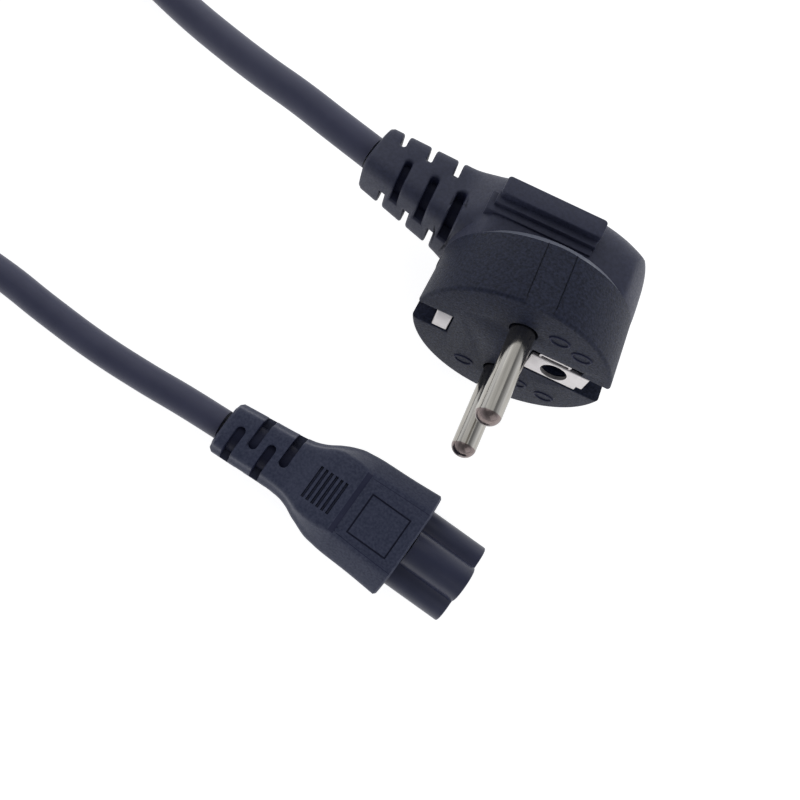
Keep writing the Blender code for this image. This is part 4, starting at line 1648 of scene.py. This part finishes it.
    def grip_groove(self, row: int) -> bpy.types.Object:
        """Make the cutter of one cross groove of the grip, V-shaped and following the top's height.

        Args:
            row: The groove's number, from the shoulder.

        Returns:
            The cutter.
        """
        along = self.grip_first + row * self.grip_pitch
        high, low = self.top_at(along) + self.grip_over, self.top_at(along) - self.grip_depth
        section = [(-along - self.grip_mouth, high), (-along - self.grip_floor, low),
                   (-along + self.grip_floor, low), (-along + self.grip_mouth, high)]
        ends = (self.grip_middle - self.grip_half_width, self.grip_middle + self.grip_half_width)
        return add_loft("grip_groove", [[(x, across, up) for x, up in section] for across in ends])

    def is_slot_rim(self, edge: bmesh.types.BMEdge) -> bool:
        """Tell whether an edge is a sharp rim of a strain relief slot, outside the core.

        Args:
            edge: An edge of the body.

        Returns:
            Whether it is to be rounded.
        """
        if not is_sharp(edge, RIM_ANGLE):
            return False
        for vertex in edge.verts:
            along, across, up = -vertex.co.x / MM, vertex.co.y / MM, vertex.co.z / MM
            if not self.slot_first - self.slot_lead < along < self.length - self.slot_end:
                return False
            if self.from_axis(along, across, up) < self.slot_core + self.rim_off_core:
                return False
            if abs(up - self.slot_height(along)) < TOUCH or not self.near_skin(along, across, up):
                return False
        return True

    def near_skin(self, along: float, across: float, up: float) -> bool:
        """Tell whether a point lies on the outside of the body, by its height and its place across.

        Args:
            along: Its place behind the shoulder.
            across: Its place across.
            up: Its height.

        Returns:
            Whether it does.
        """
        row = self.station_at(along)
        if row is None:
            return False
        half, foot, top = self.half_width - row[1], row[2], self.height - row[3]
        side = abs(across - self.sway_at(along))
        by_side = side > half - self.rim_by_side or up < foot + self.rim_by_side
        return by_side or up > top - self.rim_by_top or side / half + up / top > self.rim_by_corner

    def nose_section(self, along: float, inside: float) -> list[Point]:
        """Draw the cloverleaf outline at a place along the nose.

        Args:
            along: Distance in front of the shoulder.
            inside: How far the outline lies inside the full one.

        Returns:
            The section's points.
        """
        half = self.lobe_spacing / 2
        side, middle = self.lobe_radius - inside, self.earth_lobe_radius - inside
        valley = [(middle + past, side + above) for past, above in self.valley]
        outline = [*arc((half, 0), side, -90, 90, 24), *valley]
        outline += arc((0, self.earth_lobe_rise), middle, 0, 180, 32)[1:-1]
        outline += [(-across, up) for across, up in reversed(valley)]
        outline += arc((-half, 0), side, 90, 270, 24)
        return [(along, across, self.nose_height + up) for across, up in outline]

    def nose(self, finishes: Finishes) -> None:
        """Model the insert with its rounded end and three contact holes.

        Args:
            finishes: The finishes of the cord set.
        """
        end = self.seat_gap + self.nose_length
        places = [(self.seat_gap, 0.0), *[(end - before, inside) for before, inside in self.nose_end_steps]]
        nose = add_loft("connector_insert", [self.nose_section(along, inside) for along, inside in places])
        half = self.lobe_spacing / 2
        for across, up in ((half, 0.0), (-half, 0.0), (0.0, self.earth_lobe_rise)):
            height = self.nose_height + up
            combine(nose, add_rod("contact_hole", self.hole_radius, (end - self.hole_depth, across, height),
                                  (end + PAST, across, height), 40))
        shade_by_angle(nose, 35)
        settle(nose, self.frame)
        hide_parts("connector_nose")
        dress(nose, Slot.INSERT_VINYL, finishes.insert)

    def sleeves(self, frame: dict, finishes: Finishes) -> None:
        """Give the contact sleeves inside the holes their metal.

        Args:
            frame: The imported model, with its nodes by name.
            finishes: The finishes of the cord set.
        """
        for name, node in frame["nodes"].items():
            if name.startswith("socket_contact_"):
                node.data.materials.clear()
                node.data.materials.append(finishes.contact)
                log.info("%s: kept from the packed model", name)

    def build(self, frame: dict, finishes: Finishes) -> None:
        """Build and dress the whole connector.

        Args:
            frame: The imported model, with its nodes by name.
            finishes: The finishes of the cord set.
        """
        self.body(finishes)
        self.nose(finishes)
        self.sleeves(frame, finishes)


# The cord


@dataclass
class Cord:
    """One mains cord: from the plug, round its coil, to the connector. Routes are in metres."""

    diameter: float = 0.0062
    length: float = 1.5
    exit: Point = (-0.0310, 0.0279, 0.0154)
    # How much thicker the jacket is by the plug, for the first knots and then easing off
    plug_swell: tuple[float, ...] = (1.1, 1.09, 1.09, 1.09, 1.1, 1.1, 1.06, 1.02)
    plug_lead: list[Point] = field(default_factory=lambda: [
        (-0.0312, 0.0279, 0.0154), (-0.0400, 0.0284, 0.0149), (-0.0494, 0.0293, 0.0134),
        (-0.0590, 0.0301, 0.0111), (-0.0695, 0.0314, 0.0083), (-0.0800, 0.0330, 0.0058),
        (-0.0930, 0.0353, 0.0039), (-0.1070, 0.0379, 0.0033), (-0.1210, 0.0400, 0.0036),
        (-0.1355, 0.0407, 0.0043),
    ])
    connector_lead: list[Point] = field(default_factory=lambda: [
        (-0.0243, -0.0309, 0.0058), (-0.0330, -0.0314, 0.0051), (-0.0430, -0.0322, 0.0039),
        (-0.0540, -0.0327, 0.0033), (-0.0660, -0.0325, 0.0032), (-0.0775, -0.0320, 0.0032),
        (-0.0900, -0.0326, 0.0034), (-0.1020, -0.0349, 0.0046), (-0.1140, -0.0380, 0.0067),
        (-0.1250, -0.0400, 0.0089), (-0.1355, -0.0407, 0.0103),
    ])
    coil_at: Place = (-0.1585, 0.0)
    coil_radius: float = 0.0345
    coil_base: float = 0.0012
    half_turns: int = 11
    turn_step: float = 20.0
    jog_width: float = 120.0
    # Cells of the winding, in diameters across and up, and where in each turn the step to the next starts
    cells: tuple[tuple[int, int], ...] = ((1, 0), (0, 0), (-1, 0), (-1, 1), (0, 1), (1, 1))
    jogs: tuple[float, ...] = (240, 240, 210, 180, 180)

    def winding(self, turned: float) -> Point:
        """Find the place on the coil after so many degrees of winding.

        Args:
            turned: Degrees wound so far.

        Returns:
            The cord's centre there.
        """
        turn = int(turned // 360)
        here = following = self.cells[turn]
        share = 0.0
        if turn < len(self.jogs):
            following = self.cells[turn + 1]
            share = min(1.0, max(0.0, (turned - 360 * turn - self.jogs[turn]) / self.jog_width))
        eased = 2 * share ** 2 if share < 0.5 else 1 - 2 * (1 - share) ** 2
        radius = self.coil_radius + self.diameter * (here[0] + (following[0] - here[0]) * eased)
        height = self.coil_base + self.diameter * (0.5 + here[1] + (following[1] - here[1]) * eased)
        angle = math.radians(90 + turned)
        x, y = self.coil_at
        return x + radius * math.cos(angle), y + radius * math.sin(angle), height

    def route(self) -> list[Point]:
        """List the whole cord's points from the plug to the connector.

        Returns:
            Listed points of both leads, with the coil's turns between them.
        """
        steps = round(self.half_turns * 180 / self.turn_step)
        coil = [self.winding(step * self.turn_step) for step in range(steps + 1)]
        return [*self.plug_lead, *coil, *reversed(self.connector_lead)]

    def build(self, finishes: Finishes, tie: bpy.types.Object) -> None:
        """Args:
            finishes: The finishes of the cord set.
            tie: The strap that holds the coil; not used.
        """
        curve = bpy.data.curves.new("mains_cord", "CURVE")
        curve.dimensions = "3D"
        curve.bevel_depth = self.diameter / 2
        curve.bevel_resolution = 10
        curve.resolution_u = 8
        curve.use_fill_caps = True
        route = self.route()
        spline = curve.splines.new("BEZIER")
        spline.bezier_points.add(len(route) - 1)
        for knot, place in zip(spline.bezier_points, route):
            knot.co = place
            knot.handle_left_type = "AUTO"
            knot.handle_right_type = "AUTO"
        for knot, swell in zip(spline.bezier_points, self.plug_swell):
            knot.radius = swell
        cord = bpy.data.objects.new("mains_cord", curve)
        bpy.context.scene.collection.objects.link(cord)
        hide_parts("cord_plug_side", "cord_connector_side", "cord_coil")
        dress(cord, Slot.CORD_JACKET, finishes.jacket)


@dataclass
class CoilTie:
    """The hook-and-loop strap round one side of the coil, in millimetres about the strap's own middle."""

    coil: Cord
    width: float = 12.0
    thickness: float = 0.9
    slack: float = 0.8
    seat_gap: float = 0.3
    turns_across: int = 3
    inner_rounding: float = 1.6
    outer_rounding: float = 2.5
    edge: float = 0.2

    def build(self, finishes: Finishes) -> bpy.types.Object:
        """Fold the strap round the turns.

        Args:
            finishes: The finishes of the cord set.

        Returns:
            The strap.
        """
        diameter = self.coil.diameter / MM
        half_across = self.turns_across / 2 * diameter + self.slack
        half_up = diameter + self.seat_gap
        corners = [(half_across, half_up), (-half_across, half_up), (-half_across, -half_up),
                   (half_across, -half_up)]
        inner = rounded(corners, self.inner_rounding, 6)
        grown = [(x / half_across * (half_across + self.thickness), z / half_up * (half_up + self.thickness))
                 for x, z in corners]
        outer = rounded(grown, self.outer_rounding, 6)
        half = self.width / 2
        strap = add_loft("coil_strap", [[(x, y, z) for x, z in outer] for y in (-half, half)])
        combine(strap, add_loft("strap_hollow", [[(x, y, z) for x, z in inner]
                                                 for y in (-half - PAST, half + PAST)]))
        round_edges(strap, self.edge, 2)
        shade_by_angle(strap, 40)
        middle = Vector((*self.coil.coil_at, self.coil.coil_base + self.coil.diameter))
        middle.x -= self.coil.coil_radius
        settle(strap, Matrix.Translation(middle))
        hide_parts("cord_tie")
        dress(strap, Slot.STRAP_FABRIC, finishes.strap)
        return strap


# The studio


@dataclass(frozen=True)
class SoftBox:
    """One soft area light: its place and side in metres and its power in watts."""

    name: str
    at: Point
    side: float
    power: float

    def hang(self) -> None:
        """Hang the light, facing the middle of the floor."""
        deselect()
        bpy.ops.object.light_add(type="AREA", location=self.at)
        lamp = bpy.context.active_object
        lamp.name = self.name
        lamp.rotation_euler = (-Vector(self.at)).to_track_quat("-Z", "Y").to_euler()
        lamp.data.size = self.side
        lamp.data.energy = self.power


@dataclass
class Studio:
    """The floor, the soft lights and the camera at the photograph's viewing angle, in metres."""

    camera_at: Point = (0.003735, -0.038325, 0.21655)
    camera_turn: Point = (7.423, -4.253, 35.300)
    lens: float = 48.735
    floor_size: float = 16.0
    floor_drop: float = 0.0001
    floor_colour: Point = (0.42, 0.42, 0.43)
    floor_roughness: float = 0.8
    floor_glow: float = 0.88
    sky: Point = (0.93, 0.95, 1.0)
    overhead: float = 0.26
    horizon: float = 0.95
    front_share: float = 0.4
    # Where the light changes from low down to overhead and from the front to behind, in a unit direction
    rise_span: Place = (0.15, 0.8)
    depth_span: Place = (-0.7, 0.5)
    soft_boxes: tuple[SoftBox, ...] = (SoftBox("rear_soft_box", (-0.35, 0.55, 0.7), 1.1, 2.0),
                                       SoftBox("side_soft_box", (0.6, -0.3, 0.5), 0.7, 0.8))

    def camera(self) -> None:
        """Set up the camera."""
        deselect()
        turn = tuple(math.radians(angle) for angle in self.camera_turn)
        bpy.ops.object.camera_add(location=self.camera_at, rotation=turn)
        camera = bpy.context.active_object
        camera.name = "camera"
        camera.data.lens = self.lens
        camera.data.sensor_width = 36
        camera.data.clip_start = 0.005
        camera.data.clip_end = 20
        bpy.context.scene.camera = camera

    def floor(self) -> None:
        """Lay the pale floor, lit a little from within as a light table is."""
        deselect()
        bpy.ops.mesh.primitive_plane_add(size=self.floor_size, location=(0, 0, -self.floor_drop))
        floor = added("studio_floor")
        look = bpy.data.materials.new("pale_floor")
        look.use_nodes = True
        shader = look.node_tree.nodes["Principled BSDF"]
        shader.inputs["Base Color"].default_value = (*self.floor_colour, 1)
        shader.inputs["Roughness"].default_value = self.floor_roughness
        shader.inputs["Emission Color"].default_value = (1, 1, 1, 1)
        shader.inputs["Emission Strength"].default_value = self.floor_glow
        floor.data.materials.append(look)

    def world(self) -> None:
        """Surround the set with a white wall: bright low down and behind, dim overhead and in front."""
        world = bpy.data.worlds.new("soft_box")
        world.use_nodes = True
        nodes, links = world.node_tree.nodes, world.node_tree.links
        background = nodes["Background"]
        background.inputs["Color"].default_value = (*self.sky, 1)
        where = nodes.new("ShaderNodeTexCoord")
        parts = nodes.new("ShaderNodeSeparateXYZ")
        links.new(where.outputs["Generated"], parts.inputs["Vector"])
        low = self.spread(nodes, links, parts.outputs["Z"], self.rise_span, (self.horizon, 0.0))
        behind = self.spread(nodes, links, parts.outputs["Y"], self.depth_span, (self.front_share, 1.0))
        glow = nodes.new("ShaderNodeMath")
        glow.operation = "MULTIPLY_ADD"
        links.new(low, glow.inputs[0])
        links.new(behind, glow.inputs[1])
        glow.inputs[2].default_value = self.overhead
        links.new(glow.outputs["Value"], background.inputs["Strength"])
        bpy.context.scene.world = world

    @staticmethod
    def spread(nodes: bpy.types.Nodes, links: bpy.types.NodeLinks, source: bpy.types.NodeSocket,
               span: Place, result: Place) -> bpy.types.NodeSocket:
        """Turn a value that runs over a span into a smooth change between two numbers.

        Args:
            nodes: The world's nodes.
            links: The world's links.
            source: The value.
            span: Where the change starts and ends.
            result: The numbers at the start and at the end.

        Returns:
            The socket of the result.
        """
        change = nodes.new("ShaderNodeMapRange")
        change.interpolation_type = "SMOOTHSTEP"
        change.inputs["From Min"].default_value, change.inputs["From Max"].default_value = span
        change.inputs["To Min"].default_value, change.inputs["To Max"].default_value = result
        links.new(source, change.inputs["Value"])
        return change.outputs["Result"]

    def build(self) -> None:
        """Build the whole studio."""
        self.camera()
        self.floor()
        self.world()
        for soft_box in self.soft_boxes:
            soft_box.hang()
        bpy.context.scene.view_settings.view_transform = "Standard"


def clear_scene() -> None:
    """Remove what the file opened with."""
    for item in list(bpy.data.objects):
        bpy.data.objects.remove(item, do_unlink=True)


def main() -> None:
    """Load the frame and build every piece in order."""
    logging.basicConfig(level=logging.INFO, format="%(name)s: %(message)s")
    clear_scene()
    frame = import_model()
    studio = Studio()
    studio.build()
    finishes = Finishes.make()
    cord = Cord()
    tie = CoilTie(cord).build(finishes)
    cord.build(finishes, tie)
    Plug().build(finishes)
    Connector().build(frame, finishes)
    deselect()
    log.info("boxes written")


if __name__ == "__main__":
    main()
